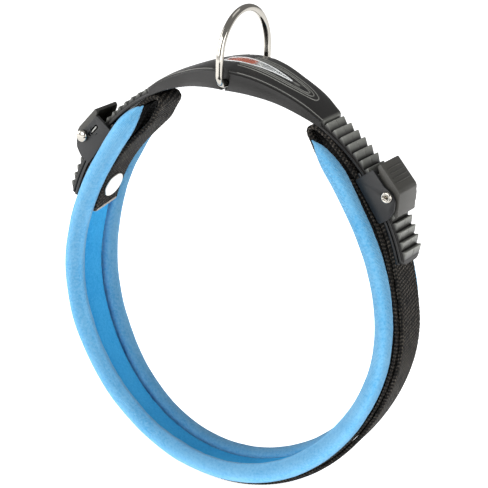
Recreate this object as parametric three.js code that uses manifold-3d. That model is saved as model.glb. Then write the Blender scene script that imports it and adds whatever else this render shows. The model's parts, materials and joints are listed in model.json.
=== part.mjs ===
// A padded dog collar with a ratchet strap, in millimetres, +Z up.
// The collar stands upright: the neck runs along Y, the lead ring is on top, and the
// origin is the centre of the neck opening. A rigid toothed strap spans the top and slides
// through a lever buckle on each side; the buckles are riveted to a padded webbing band.
// Angles are in degrees from +Z, positive towards +X. Radii called R are about the strap's
// own arc centre, which lies a little below the origin.

import * as THREE from 'three';
import { mergeVertices } from 'three/addons/utils/BufferGeometryUtils.js';
import Module from 'manifold-3d';

const wasm = await Module();
wasm.setup();

// ---- Driving dimensions -------------------------------------------------------------

const GAP = 0.3;                  // room between pieces that touch
const ARC_CENTRE_Z = -12;         // centre of the strap's arc, and of the webbing near it

// Toothed strap
const STRAP_INNER_R = 101.9;
const FLANGE_TOP_R = 103.4;       // edge flange beside the teeth
const FLANGE_HALF = 9.9;
const TOOTH_HALF = 8.7;
const TOOTH_VALLEY_R = 104.0;
const TOOTH_TIP_R = 106.3;
const TOOTH_PITCH = 2.75;
const TOOTH_COUNT = 16;
const TOOTH_START = 30.3;
const TOOTH_RISE = 0.3;           // degrees taken by a tooth's steep face
const STRAP_NOSE = 1.1;           // degrees of rounded end past the last tooth

// Crown of the strap: values at five even steps from its middle to the first tooth
const CROWN_HALF = [20, 17.6, 14.5, 12.4, FLANGE_HALF];
const CROWN_EDGE_R = [112.5, 111.6, 109.8, 108.3, 106.2];
const CROWN_DOME = [1.3, 1.1, 0.9, 0.7, 0.1];
const CROWN_CHAMFER = 1.0;
const CROWN_WALL = 2.4;
const CROWN_BLOCK = 4.2;          // half width, in degrees, of the block that holds the ring

// Lead ring
const RING_WIRE_R = 1.95;
const RING_HALF = 23.5;           // to the wire's centre
const RING_BEND_R = 5;
const RING_BASE_R = 105.2;
const RING_LEG_TOP = 11.8;        // from the base wire up to the start of the bow
const RING_BORE_R = 2.3;

// Emblem inlay on the crown
const EMBLEM_START = -4.8;
const EMBLEM_END = 14.9;
const EMBLEM_HALF = 3.6;
const EMBLEM_DEPTH = 1.3;

// Padded band: the sewn line of the padding is the base, and layers lie at offsets from it
const BAND_BASE_R = 90;           // about the arc centre, beside the buckles
const ROLL_RADIAL = 4.8;
const ROLL_AXIAL = 5.9;
const ROLL_OFFSET = 16.3;         // of each roll from the middle of the band
const ROLL_START = { right: 34.8, left: 34.5 };
const EGG_TURN = 1.25;             // the egg's long end lies a little to the right of the bottom
const SAG = 1.3;                  // the lower band hangs this much outside the rolls' curve
const LEAN = { out: 7.2, at: 201, spread: 32 };      // the rear roll drops behind the front one
const TUCK = { out: -1.3, at: 125, spread: 32 };     // and sits inside it on the right
const CHANNEL = [-0.8, 5.1];
const CHANNEL_HALF = 10;
const BACKING = [5.5, 6.9];
const BACKING_HALF = 12.5;
const LAYER_START = 53;
const WEBBING_THICK = 2.4;
const WEBBING_OFFSET = 8.4;       // to its mid plane
const WEBBING_HALF = 10;
const FOLD_LAYER_R = 87.7;        // the folded-back end, lying in the channel
const FOLD_END = 77.5;
const REAR_SLIM = 0.72;           // the rear roll's thickness at its left end

// Buckles, as they stand on the right
const CHEEK_IN = 10.3;
const CHEEK_OUT = 12.4;
const CHEEK_FOOT_R = 98.6;
const BASE_R = [99.9, 101.6];
const BASE_SPAN = [47.8, 61.9];
const TONGUE_SPAN = [46.6, 75];
const PIN_DEG = 56.2;
const PIN_R = 109.5;
const PIN_RADIUS = 1.3;
const PIN_HEAD_R = 2.9;
const PIN_BORE_R = 1.6;
const BOSS_R = 2.7;
const LEVER_HALF = 9.7;
const LEVER_WALL = 1.6;
const SPRING_R = 2.2;
const SPRING_WIRE_R = 0.35;
const SPRING_TURNS = 5;
const SPRING_HALF = 2.3;

// Cap rivet through the folded end, the padding, the webbing and the buckle's tongue
const RIVET_DEG = 67.6;
const RIVET_POST_R = 1.9;
const RIVET_CAP_R = 7.2;
const BURR_R = 4.2;

// ---- Helpers ------------------------------------------------------------------------

const radians = THREE.MathUtils.degToRad;
const { smoothstep, lerp } = THREE.MathUtils;

function polar(r, degrees) {
  const a = radians(degrees);
  return new THREE.Vector2(r * Math.sin(a), ARC_CENTRE_Z + r * Math.cos(a));
}

function arc(r, from, to, steps) {
  return Array.from({ length: steps + 1 }, (_, i) => polar(r, lerp(from, to, i / steps)));
}

// A smooth function through values at even steps from zero to span.
function profile(values, span) {
  const curve = new THREE.SplineCurve(values.map((v, i) => new THREE.Vector2(i, v)));
  return (x) => curve.getPoint(THREE.MathUtils.clamp(Math.abs(x) / span, 0, 1)).y;
}

// An outline in the XZ plane, extruded along Y from y0 to y1.
function prism(outline, y0, y1, curveSegments = 8) {
  const shape = Array.isArray(outline) ? new THREE.Shape(outline) : outline;
  const geometry = new THREE.ExtrudeGeometry(shape,
    { depth: y1 - y0, bevelEnabled: false, curveSegments });
  return geometry.rotateX(Math.PI / 2).translate(0, y1, 0);
}

function rodY(radius, y0, y1, at, sides = 20) {
  const geometry = new THREE.CylinderGeometry(radius, radius, y1 - y0, sides);
  return geometry.translate(at.x, (y0 + y1) / 2, at.y);
}

// A cylinder along the strap's radius at an angle, between two radii.
function rodRadial(radius, r0, r1, degrees, sides = 24) {
  const geometry = new THREE.CylinderGeometry(radius, radius, r1 - r0, sides);
  return placeRadial(geometry.translate(0, (r0 + r1) / 2, 0), degrees);
}

// Turns a shape whose axis is +Y into the strap's radial direction at an angle.
function placeRadial(geometry, degrees) {
  geometry.rotateX(Math.PI / 2);
  geometry.rotateY(radians(degrees));
  return geometry.translate(0, 0, ARC_CENTRE_Z);
}

function signedVolume(positions, index) {
  let volume = 0;
  const [a, b, c] = [0, 1, 2].map(() => new THREE.Vector3());
  for (let i = 0; i < index.length; i += 3) {
    [a, b, c].forEach((v, k) => v.copy(positions[index[i + k]]));
    volume += a.dot(b.cross(c)) / 6;
  }
  return volume;
}

// Joins stations, each an outline of the same number of points and a placement in space.
function loft(stations, closed = false) {
  const positions = stations.flatMap(({ outline, at }) => outline.map((p) => at(p.x, p.y)));
  const n = stations[0].outline.length;
  const index = [];
  const spans = closed ? stations.length : stations.length - 1;
  for (let i = 0; i < spans; i += 1) {
    const here = i * n;
    const next = ((i + 1) % stations.length) * n;
    for (let j = 0; j < n; j += 1) {
      const k = (j + 1) % n;
      index.push(here + j, here + k, next + k, here + j, next + k, next + j);
    }
  }
  if (!closed) {
    const last = positions.length - n;
    const turn = THREE.ShapeUtils.isClockWise(stations[0].outline) ? 1 : -1;
    for (const [start, way] of [[0, turn], [last, -turn]]) {
      const faces = THREE.ShapeUtils.triangulateShape(stations[start / n].outline, []);
      for (const face of faces) {
        index.push(...(way > 0 ? face : face.toReversed()).map((v) => start + v));
      }
    }
  }
  if (signedVolume(positions, index) < 0) index.reverse();
  const geometry = new THREE.BufferGeometry().setFromPoints(positions);
  return geometry.setIndex(index);
}

function solid(geometry) {
  const bare = geometry.clone();
  bare.deleteAttribute('normal');
  bare.deleteAttribute('uv');
  const welded = mergeVertices(bare, 1e-4);
  return new wasm.Manifold(new wasm.Mesh({
    numProp: 3,
    vertProperties: new Float32Array(welded.attributes.position.array),
    triVerts: new Uint32Array(welded.index.array),
  }));
}

function shaped(body, { add = [], cut = [] }) {
  let result = solid(body);
  for (const other of add) result = result.add(solid(other));
  for (const other of cut) result = result.subtract(solid(other));
  const mesh = result.getMesh();
  const geometry = new THREE.BufferGeometry();
  geometry.setAttribute('position', new THREE.BufferAttribute(mesh.vertProperties, 3));
  return geometry.setIndex(new THREE.BufferAttribute(mesh.triVerts, 1));
}

const finishes = {
  strap: { color: 0x3b3a38, roughness: 0.38, metalness: 0 },
  housing: { color: 0x33363a, roughness: 0.32, metalness: 0 },
  lever: { color: 0x5c5b56, roughness: 0.4, metalness: 0 },
  webbing: { color: 0x2a2826, roughness: 0.9, metalness: 0 },
  padding: { color: 0x5aa5e0, roughness: 0.95, metalness: 0 },
  nickel: { color: 0xd4d6d4, roughness: 0.15, metalness: 1 },
  steel: { color: 0x9a9c9c, roughness: 0.3, metalness: 1 },
  inlay: { color: 0xc85a1e, roughness: 0.4, metalness: 0 },
  resin: { color: 0xf2f2ee, roughness: 0.05, metalness: 0 },
};

function piece(name, geometry, finish) {
  const mesh = new THREE.Mesh(geometry, new THREE.MeshStandardMaterial(finishes[finish]));
  mesh.name = name;
  return mesh;
}

// ---- Padded band ----------------------------------------------------------------------

// The rolls' centre line about the origin: an egg, narrow at the top and long at the bottom.
function rollRadius(degrees) {
  const a = radians(degrees + EGG_TURN);
  return 97.3 - 12.9 * Math.cos(a) + 8.6 * Math.cos(2 * a) + 2.2 * Math.cos(3 * a)
    + 1.6 * Math.cos(4 * a);
}

// The flat layers leave the egg near the top and follow the strap's arc under the buckles.
function layerRadius(degrees) {
  const a = radians(degrees);
  const drop = ARC_CENTRE_Z * Math.sin(a);
  const round = ARC_CENTRE_Z * Math.cos(a) + Math.sqrt(BAND_BASE_R ** 2 - drop ** 2);
  const fromTop = Math.min(degrees, 360 - degrees);
  return lerp(round, rollRadius(degrees), smoothstep(fromTop, 80, 108));
}

// A point at an offset outward from a curve given as a radius about the origin.
function offsetPoint(radiusAt, degrees, offset) {
  const step = 0.5;
  const at = (d) => new THREE.Vector2(Math.sin(radians(d)), Math.cos(radians(d)))
    .multiplyScalar(radiusAt(d));
  const along = at(degrees + step).sub(at(degrees - step)).normalize();
  return at(degrees).add(new THREE.Vector2(-along.y, along.x).multiplyScalar(offset));
}

// How far the rear roll stands outside the front one at an angle about the origin.
function lean(degrees) {
  return [LEAN, TUCK].reduce((sum, { out, at, spread }) =>
    sum + out * Math.exp(-(((degrees - at) / spread) ** 2)), 0);
}

// The soft band isn't a true hoop below the buckles: it sags, and its rear edge leans out.
function hung(geometry) {
  const position = geometry.attributes.position;
  for (let i = 0; i < position.count; i += 1) {
    const [x, y, z] = [position.getX(i), position.getY(i), position.getZ(i)];
    const r = Math.hypot(x, z);
    const degrees = (THREE.MathUtils.radToDeg(Math.atan2(x, z)) + 360) % 360;
    const fromTop = Math.min(degrees, 360 - degrees);
    const share = (y + ROLL_OFFSET) / (2 * ROLL_OFFSET);
    const shift = (SAG + lean(degrees) * share) * smoothstep(fromTop, 84, 118);
    position.setX(i, x * (1 + shift / r));
    position.setZ(i, z * (1 + shift / r));
  }
  return geometry;
}

function paddingRoll(side) {
  const sides = 12;
  const steps = 50;
  const stations = [];
  for (let i = 0; i <= steps; i += 1) {
    const degrees = lerp(ROLL_START.right, 360 - ROLL_START.left, i / steps);
    const fromEnd = Math.min(degrees - ROLL_START.right, 360 - ROLL_START.left - degrees);
    const slim = side > 0 ? lerp(1, REAR_SLIM, smoothstep(degrees, 262, 290)) : 1;
    const taper = slim * lerp(0.3, 1, Math.sqrt(smoothstep(fromEnd, -3, 15)));
    const outline = Array.from({ length: sides }, (_, k) => {
      const a = (2 * Math.PI * k) / sides;
      return new THREE.Vector2(ROLL_AXIAL * taper * Math.cos(a), ROLL_RADIAL * taper * Math.sin(a));
    });
    const at = (axial, radial) => {
      const p = offsetPoint(rollRadius, degrees, radial);
      return new THREE.Vector3(p.x, side * ROLL_OFFSET + axial, p.y);
    };
    stations.push({ outline, at });
  }
  return hung(loft(stations));
}

// A flat layer around the band between two offsets, open at the top.
function bandLayer([inner, outer], half, cuts) {
  const steps = 40;
  const side = (offset) => Array.from({ length: steps + 1 }, (_, i) =>
    offsetPoint(layerRadius, lerp(LAYER_START, 360 - LAYER_START, i / steps), offset));
  const outline = [...side(outer), ...side(inner).toReversed()];
  return shaped(hung(prism(outline, -half, half)), { cut: cuts });
}

// The right side's webbing from its folded end round the fold's tip, on its mid plane.
// The loop is fat: it rests against the strap, and hangs clear of the rolls' ends.
function foldPath() {
  const turn = [
    [87.8, 45.5], [88.4, 39], [89.7, 33.9], [92.3, 30.9], [94.5, 28.6], [96.4, 26.9],
    [99.2, 27.3], [100.3, 29.1], [100.2, 33.5], [98.9, 40],
  ];
  const outerR = BAND_BASE_R + WEBBING_OFFSET;
  return [
    ...arc(FOLD_LAYER_R, FOLD_END, 49, 6),
    ...turn.map(([r, degrees]) => polar(r, degrees)),
    polar(outerR, 45.5),
    polar(outerR, 50),
  ];
}

function webbing(cuts) {
  const outline = [];
  const right = foldPath();
  const left = right.map((p) => new THREE.Vector2(-p.x, p.y));
  const steps = 34;
  const round = Array.from({ length: steps + 1 }, (_, i) =>
    offsetPoint(layerRadius, lerp(62, 298, i / steps), WEBBING_OFFSET));
  const points = [...right, ...round, ...left.toReversed()];
  const curve = new THREE.SplineCurve(points);
  const count = Math.round(points.length * 1.6);
  const half = WEBBING_THICK / 2;
  const back = [];
  for (let i = 0; i <= count; i += 1) {
    const t = i / count;
    const p = curve.getPoint(t);
    const along = curve.getTangent(t);
    const normal = new THREE.Vector2(-along.y, along.x).multiplyScalar(half);
    outline.push(p.clone().add(normal));
    back.push(p.clone().sub(normal));
  }
  const ribbon = prism([...outline, ...back.toReversed()], -WEBBING_HALF, WEBBING_HALF);
  return shaped(hung(ribbon), { cut: cuts });
}

// ---- Toothed strap --------------------------------------------------------------------

const crownHalf = profile(CROWN_HALF, TOOTH_START);
const crownEdge = profile(CROWN_EDGE_R, TOOTH_START);
const crownDome = profile(CROWN_DOME, TOOTH_START);

function aroundArc(degrees) {
  return (y, r) => {
    const p = polar(r, degrees);
    return new THREE.Vector3(p.x, y, p.y);
  };
}

// The strap's section: a base of one width, and a body of another that may be domed.
function strapSection(degrees, { half, shoulder, body, edge, dome }) {
  const side = [
    [half, STRAP_INNER_R], [half, shoulder], [body, shoulder + 0.2], [body, edge],
    [body * 0.55, edge + dome * 0.75],
  ];
  const outline = [
    ...side.map(([y, r]) => new THREE.Vector2(y, r)),
    new THREE.Vector2(0, edge + dome),
    ...side.toReversed().map(([y, r]) => new THREE.Vector2(-y, r)),
  ];
  return { degrees, outline, at: aroundArc(degrees) };
}

function crownSection(degrees) {
  const half = crownHalf(degrees);
  const edge = crownEdge(degrees);
  return strapSection(degrees, {
    half,
    shoulder: edge - CROWN_CHAMFER,
    body: half - CROWN_CHAMFER * 0.8,
    edge,
    dome: crownDome(degrees),
  });
}

function toothSection(degrees, edge, half = FLANGE_HALF) {
  return strapSection(degrees, {
    half, shoulder: FLANGE_TOP_R, body: half - FLANGE_HALF + TOOTH_HALF, edge, dome: 0.05,
  });
}

function mirrored({ degrees, outline }) {
  return { outline, at: aroundArc(-degrees) };
}

function strapBlank() {
  const half = [];
  for (let a = 0; a < TOOTH_START - 1; a += 1.5) half.push(crownSection(a));
  half.push(toothSection(TOOTH_START - 0.6, TOOTH_TIP_R));
  for (let i = 0; i < TOOTH_COUNT; i += 1) {
    const start = TOOTH_START + i * TOOTH_PITCH;
    half.push(toothSection(start, TOOTH_VALLEY_R), toothSection(start + TOOTH_RISE, TOOTH_TIP_R));
  }
  const end = TOOTH_START + TOOTH_COUNT * TOOTH_PITCH;
  half.push(toothSection(end, TOOTH_VALLEY_R + 0.2));
  half.push(toothSection(end + STRAP_NOSE * 0.7, TOOTH_VALLEY_R, FLANGE_HALF - 1.6));
  half.push(toothSection(end + STRAP_NOSE, TOOTH_VALLEY_R - 0.2, FLANGE_HALF - 3.6));
  return loft([...half.slice(1).toReversed().map(mirrored), ...half]);
}

// The hollow under one side of the crown, between the ring's block and the teeth.
function crownPocket(side) {
  const stations = [];
  for (let a = CROWN_BLOCK; a <= 26.7; a += 2.5) {
    const half = crownHalf(a) - CROWN_WALL;
    const top = crownEdge(a) - CROWN_WALL;
    const outline = [[-half, STRAP_INNER_R - 2], [half, STRAP_INNER_R - 2], [half, top], [-half, top]]
      .map(([y, r]) => new THREE.Vector2(y, r));
    stations.push({ outline, at: aroundArc(side * a) });
  }
  return loft(stations);
}

// A leaf-shaped slab that follows the crown's top, between two depths below it.
function leaf(low, high, grow = 0) {
  const steps = 16;
  const growDegrees = THREE.MathUtils.radToDeg(grow / PIN_R);
  const stations = [];
  for (let i = 0; i <= steps; i += 1) {
    const t = i / steps;
    const a = lerp(EMBLEM_START - growDegrees, EMBLEM_END + growDegrees, t);
    const half = (EMBLEM_HALF * Math.sin(Math.PI * Math.sqrt(lerp(0.05, 0.985, t)))) + grow;
    const top = crownEdge(a) + crownDome(a);
    const outline = [[-half, top + low], [half, top + low], [half, top + high], [-half, top + high]]
      .map(([y, r]) => new THREE.Vector2(y, r));
    stations.push({ outline, at: aroundArc(a) });
  }
  return loft(stations);
}

function topStrap() {
  const seat = polar(RING_BASE_R, 0);
  const flare = (side) => new THREE.CylinderGeometry(
    side > 0 ? RING_BORE_R + 1.5 : RING_BORE_R, side > 0 ? RING_BORE_R : RING_BORE_R + 1.5, 2.4, 20)
    .translate(seat.x, side * 19.2, seat.y);
  const slit = new THREE.BoxGeometry(1.7, 60, 6).translate(0, 0, seat.y - 3);
  return shaped(strapBlank(), {
    cut: [
      crownPocket(1), crownPocket(-1), rodY(RING_BORE_R, -30, 30, seat), flare(1), flare(-1), slit,
      leaf(-EMBLEM_DEPTH, 3, GAP),
    ],
  });
}

// ---- Lead ring ------------------------------------------------------------------------

function leadRing() {
  const base = ARC_CENTRE_Z + RING_BASE_R;
  const path = new THREE.Path();
  const inner = RING_HALF - RING_BEND_R;
  path.moveTo(-inner, base);
  path.lineTo(inner, base);
  path.absarc(inner, base + RING_BEND_R, RING_BEND_R, -Math.PI / 2, 0, false);
  path.absarc(0, base + RING_LEG_TOP, RING_HALF, 0, Math.PI, false);
  path.absarc(-inner, base + RING_BEND_R, RING_BEND_R, Math.PI, Math.PI * 1.5, false);
  const steps = 60;
  const sides = 10;
  const outline = Array.from({ length: sides }, (_, k) => {
    const a = (2 * Math.PI * k) / sides;
    return new THREE.Vector2(RING_WIRE_R * Math.cos(a), RING_WIRE_R * Math.sin(a));
  });
  const stations = [];
  for (let i = 0; i < steps; i += 1) {
    const p = path.getPointAt(i / steps);
    const along = path.getTangentAt(i / steps);
    const at = (x, out) => new THREE.Vector3(x, p.x + along.y * out, p.y - along.x * out);
    stations.push({ outline, at });
  }
  return loft(stations, true);
}

// ---- Buckles --------------------------------------------------------------------------

const pinAt = polar(PIN_R, PIN_DEG);

function arcPlate([r0, r1], [from, to], half, steps = 10) {
  return prism([...arc(r1, from, to, steps), ...arc(r0, to, from, steps)], -half, half);
}

function cheekOutline() {
  return [
    polar(CHEEK_FOOT_R, 47.7), polar(110.3, 48.3), polar(110.7, 53.6), polar(112.0, 55.2),
    polar(112.5, 56.6), polar(111.9, 58.3), polar(109.2, 60.4), polar(104.6, 61.9),
    polar(CHEEK_FOOT_R, 62.1),
  ];
}

function ovalSlot() {
  const [low, high] = [polar(106.3, 50.8), polar(106.9, 54.2)];
  const across = high.clone().sub(low).normalize();
  const start = Math.atan2(across.y, across.x);
  const shape = new THREE.Shape();
  shape.absarc(high.x, high.y, 1.1, start - Math.PI / 2, start + Math.PI / 2, false);
  shape.absarc(low.x, low.y, 1.1, start + Math.PI / 2, start + 1.5 * Math.PI, false);
  return prism(shape, CHEEK_IN - 1, CHEEK_OUT + 1, 6);
}

function housing() {
  return shaped(arcPlate(BASE_R, TONGUE_SPAN, WEBBING_HALF, 16), {
    add: [
      arcPlate(BASE_R, BASE_SPAN, CHEEK_OUT),
      prism(cheekOutline(), CHEEK_IN, CHEEK_OUT),
      prism(cheekOutline(), -CHEEK_OUT, -CHEEK_IN),
    ],
    cut: [
      rodY(PIN_BORE_R, -20, 20, pinAt),
      ovalSlot(),
      rodRadial(RIVET_POST_R + GAP, 90, 110, RIVET_DEG),
      rodRadial(BURR_R + GAP, 100.6, 110, RIVET_DEG),
    ],
  });
}

function lever() {
  const outer = [
    polar(111.7, 48.4), polar(113.5, 48.1), polar(114.2, 48.3), polar(115.2, 56.0),
    polar(114.9, 57.0), polar(108.4, 62.2), polar(107.0, 62.3), polar(106.8, 61.0),
    polar(106.9, 55.0), polar(108.8, 52.6),
  ];
  const hollow = [
    polar(104, 47), polar(112.4, 47), polar(113.3, 55.9), polar(112.9, 56.6),
    polar(108.6, 60.2), polar(104, 59.6),
  ];
  const inside = LEVER_HALF - LEVER_WALL;
  return shaped(prism(outer, -LEVER_HALF, LEVER_HALF), {
    cut: [
      prism(hollow, -inside, inside),
      rodY(PIN_BORE_R, -20, 20, pinAt),
    ],
  });
}

// The lever's two barrels on the pin, with room for the spring between them.
function leverWithBarrels() {
  const barrel = (y0, y1) => rodY(BOSS_R, y0, y1, pinAt, 24);
  const inside = LEVER_HALF - LEVER_WALL / 2;
  return shaped(lever(), {
    add: [barrel(SPRING_HALF + 0.9, inside), barrel(-inside, -SPRING_HALF - 0.9)],
    cut: [rodY(PIN_BORE_R, -20, 20, pinAt)],
  });
}

function pivotRivet() {
  const face = CHEEK_OUT + GAP;
  const lip = face + 1.3;
  const outline = [
    [0, -face + 2], [0.7, -face + 2], [0.8, -lip], [1.5, -lip - 0.2], [PIN_HEAD_R, -face - 0.6],
    [PIN_HEAD_R, -face], [PIN_RADIUS, -face], [PIN_RADIUS, face], [PIN_HEAD_R, face],
    [PIN_HEAD_R, face + 0.6], [2.3, face + 1.5], [1.2, face + 2.1], [0, face + 2.2],
  ].map(([r, y]) => new THREE.Vector2(r, y));
  return new THREE.LatheGeometry(outline, 24).translate(pinAt.x, 0, pinAt.y);
}

// The wire of a torsion spring, in even turns round the pin.
class SpringCurve extends THREE.Curve {
  getPoint(t, target = new THREE.Vector3()) {
    const start = radians(PIN_DEG);
    const a = start - 2 * Math.PI * SPRING_TURNS * t;
    const y = lerp(-SPRING_HALF, SPRING_HALF, t);
    return target.set(pinAt.x + SPRING_R * Math.sin(a), y, pinAt.y + SPRING_R * Math.cos(a));
  }
}

function torsionSpring() {
  const wire = new THREE.Shape();
  wire.absarc(0, 0, SPRING_WIRE_R, 0, 2 * Math.PI, false);
  return new THREE.ExtrudeGeometry(wire, {
    steps: SPRING_TURNS * 12, extrudePath: new SpringCurve(), curveSegments: 3, bevelEnabled: false,
  });
}

function foldRivet() {
  const cap = FOLD_LAYER_R - WEBBING_THICK / 2 - GAP;
  const outline = [
    [0, cap - 1.5], [3.0, cap - 1.4], [5.6, cap - 1.1], [6.9, cap - 0.6], [RIVET_CAP_R, cap - 0.3],
    [6.9, cap], [RIVET_POST_R, cap], [RIVET_POST_R, BASE_R[1] - 0.2], [0, BASE_R[1] - 0.2],
  ].map(([r, y]) => new THREE.Vector2(r, y));
  return placeRadial(new THREE.LatheGeometry(outline, 32), RIVET_DEG);
}

function rivetBurr() {
  const [low, high] = [BASE_R[1] - 0.7, BASE_R[1] - 0.1];
  const inner = RIVET_POST_R + GAP / 2;
  const outline = [[inner, low], [BURR_R, low], [BURR_R, high], [inner, high], [inner, low]]
    .map(([r, y]) => new THREE.Vector2(r, y));
  return placeRadial(new THREE.LatheGeometry(outline, 24), RIVET_DEG);
}

// Both buckles are the same assembly; the left one is turned half round about Z.
function buckle(side) {
  const group = new THREE.Group();
  group.add(
    piece(`${side}_housing`, housing(), 'housing'),
    piece(`${side}_lever`, leverWithBarrels(), 'lever'),
    piece(`${side}_pivot_rivet`, pivotRivet(), 'nickel'),
    piece(`${side}_torsion_spring`, torsionSpring(), 'steel'),
    piece(`${side}_fold_rivet`, foldRivet(), 'nickel'),
    piece(`${side}_rivet_burr`, rivetBurr(), 'steel'),
  );
  if (side === 'left') group.rotation.z = Math.PI;
  return group;
}

// ---- Assembly -------------------------------------------------------------------------

const collar = new THREE.Group();

const rivetHoles = [RIVET_DEG, -RIVET_DEG].map((d) => rodRadial(RIVET_POST_R + GAP, 80, 105, d));

collar.add(
  piece('top_strap', topStrap(), 'strap'),
  piece('emblem_inlay', leaf(-EMBLEM_DEPTH + GAP, -0.5), 'inlay'),
  piece('emblem_dome', leaf(-0.2, 0.5), 'resin'),
  piece('lead_ring', leadRing(), 'nickel'),
  piece('webbing', webbing(rivetHoles), 'webbing'),
  piece('front_padding_roll', paddingRoll(-1), 'padding'),
  piece('rear_padding_roll', paddingRoll(1), 'padding'),
  piece('padding_channel', bandLayer(CHANNEL, CHANNEL_HALF, rivetHoles), 'padding'),
  piece('backing_strip', bandLayer(BACKING, BACKING_HALF, rivetHoles), 'webbing'),
  buckle('left'),
  buckle('right'),
);

export default collar;
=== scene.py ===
"""A padded dog collar with a ratchet strap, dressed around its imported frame.

Lengths are in millimetres until a mesh is finished, and in metres after that. Angles are in
degrees from +Z, positive towards +X. Radii are about the strap's arc centre, which lies a little
below the origin, unless a docstring says that they are about the origin.
"""

import json
import logging
import math
from collections.abc import Callable, Sequence
from dataclasses import dataclass
from enum import Enum

import bmesh
import bpy
from mathutils import Matrix, Quaternion, Vector, noise


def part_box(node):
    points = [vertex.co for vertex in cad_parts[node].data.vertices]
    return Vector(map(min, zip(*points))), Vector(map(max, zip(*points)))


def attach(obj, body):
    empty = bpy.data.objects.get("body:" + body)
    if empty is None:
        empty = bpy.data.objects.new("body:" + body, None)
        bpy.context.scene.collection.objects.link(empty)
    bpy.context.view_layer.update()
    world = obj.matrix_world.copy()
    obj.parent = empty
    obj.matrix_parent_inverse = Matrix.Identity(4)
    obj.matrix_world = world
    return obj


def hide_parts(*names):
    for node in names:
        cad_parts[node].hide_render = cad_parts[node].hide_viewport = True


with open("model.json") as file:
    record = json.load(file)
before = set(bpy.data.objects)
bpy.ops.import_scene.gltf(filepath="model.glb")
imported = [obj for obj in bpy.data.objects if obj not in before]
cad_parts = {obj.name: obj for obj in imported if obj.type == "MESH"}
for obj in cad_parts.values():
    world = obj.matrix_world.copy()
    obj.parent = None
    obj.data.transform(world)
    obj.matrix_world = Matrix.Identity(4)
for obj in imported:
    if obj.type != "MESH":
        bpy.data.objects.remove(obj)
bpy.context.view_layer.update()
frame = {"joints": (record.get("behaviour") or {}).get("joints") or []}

log = logging.getLogger("collar")

Socket = bpy.types.NodeSocket

MM = 0.001
JOINTS = {joint["name"]: joint for joint in frame["joints"]}
ARC_CENTRE_Z = JOINTS["strap_slide"]["pos_m"][2] / MM
RING_BASE_Z = JOINTS["ring_swing"]["pos_m"][2] / MM
PIN_X, _, PIN_Z = (value / MM for value in JOINTS["right_lever_press"]["pos_m"])
FLOOR_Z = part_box("webbing")[0].z


class Body(Enum):
    """The rigid bodies that pieces ride on."""

    BAND = "band"
    STRAP = "strap"
    RING = "ring"
    LEFT_LEVER = "left_lever"
    RIGHT_LEVER = "right_lever"


class Side(Enum):
    """The two buckles: the left one is the right one turned half round about Z."""

    LEFT = "left"
    RIGHT = "right"


# ---- Curves and outlines ------------------------------------------------------------------


def polar(r: float, degrees: float, y: float = 0.0) -> Vector:
    """Gives the point at a radius and angle about the arc centre.

    Args:
        r: radius in millimetres.
        degrees: angle from +Z towards +X.
        y: place along the neck.

    Returns:
        The point in millimetres.
    """
    a = math.radians(degrees)
    return Vector((r * math.sin(a), y, ARC_CENTRE_Z + r * math.cos(a)))


def smoothstep(x: float, low: float, high: float) -> float:
    """Rises smoothly from 0 at low to 1 at high."""
    t = min(max((x - low) / (high - low), 0.0), 1.0)
    return t * t * (3 - 2 * t)


def lerp(a: float, b: float, t: float) -> float:
    """Mixes two numbers."""
    return a + (b - a) * t


def through(values: Sequence[float], t: float) -> float:
    """Follows a smooth curve through evenly spaced values.

    Args:
        values: the values, from t = 0 to t = 1.
        t: how far along, clamped to that range.

    Returns:
        The value there.
    """
    last = len(values) - 1
    x = min(max(t, 0.0), 1.0) * last
    i = min(int(x), last - 1)
    f = x - i
    p0, p1, p2, p3 = (values[min(max(k, 0), last)] for k in (i - 1, i, i + 1, i + 2))
    a, b = (p2 - p0) / 2, (p3 - p1) / 2
    return (2 * p1 - 2 * p2 + a + b) * f**3 + (-3 * p1 + 3 * p2 - 2 * a - b) * f**2 + a * f + p1


def spline(points: Sequence[Vector], count: int) -> list[Vector]:
    """Draws a smooth open curve through points.

    Args:
        points: the points that the curve passes.
        count: how many points to return, about evenly spaced.

    Returns:
        Points along the curve.
    """
    lengths = [0.0]
    for a, b in zip(points, points[1:]):
        lengths.append(lengths[-1] + (b - a).length)
    fine = []
    for i in range(len(points) * 12 + 1):
        t = i / (len(points) * 12)
        fine.append(Vector([through([p[axis] for p in points], t) for axis in range(3)]))
    return resample(fine, count)


def resample(points: Sequence[Vector], count: int) -> list[Vector]:
    """Spaces points evenly along a line of points.

    Args:
        points: the line.
        count: how many points to return.

    Returns:
        Points an even distance apart, from the line's start to its end.
    """
    reach = [0.0]
    for a, b in zip(points, points[1:]):
        reach.append(reach[-1] + (b - a).length)
    result, k = [], 0
    for i in range(count):
        want = reach[-1] * i / (count - 1)
        while k < len(points) - 2 and reach[k + 1] < want:
            k += 1
        span = reach[k + 1] - reach[k]
        result.append(points[k].lerp(points[k + 1], (want - reach[k]) / span if span else 0.0))
    return result


def ellipse(across: float, up: float, count: int) -> list[tuple[float, float]]:
    """Gives the points of an ellipse from its two half widths."""
    turn = [2 * math.pi * k / count for k in range(count)]
    return [(across * math.cos(a), up * math.sin(a)) for a in turn]


# ---- Meshes -------------------------------------------------------------------------------


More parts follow.
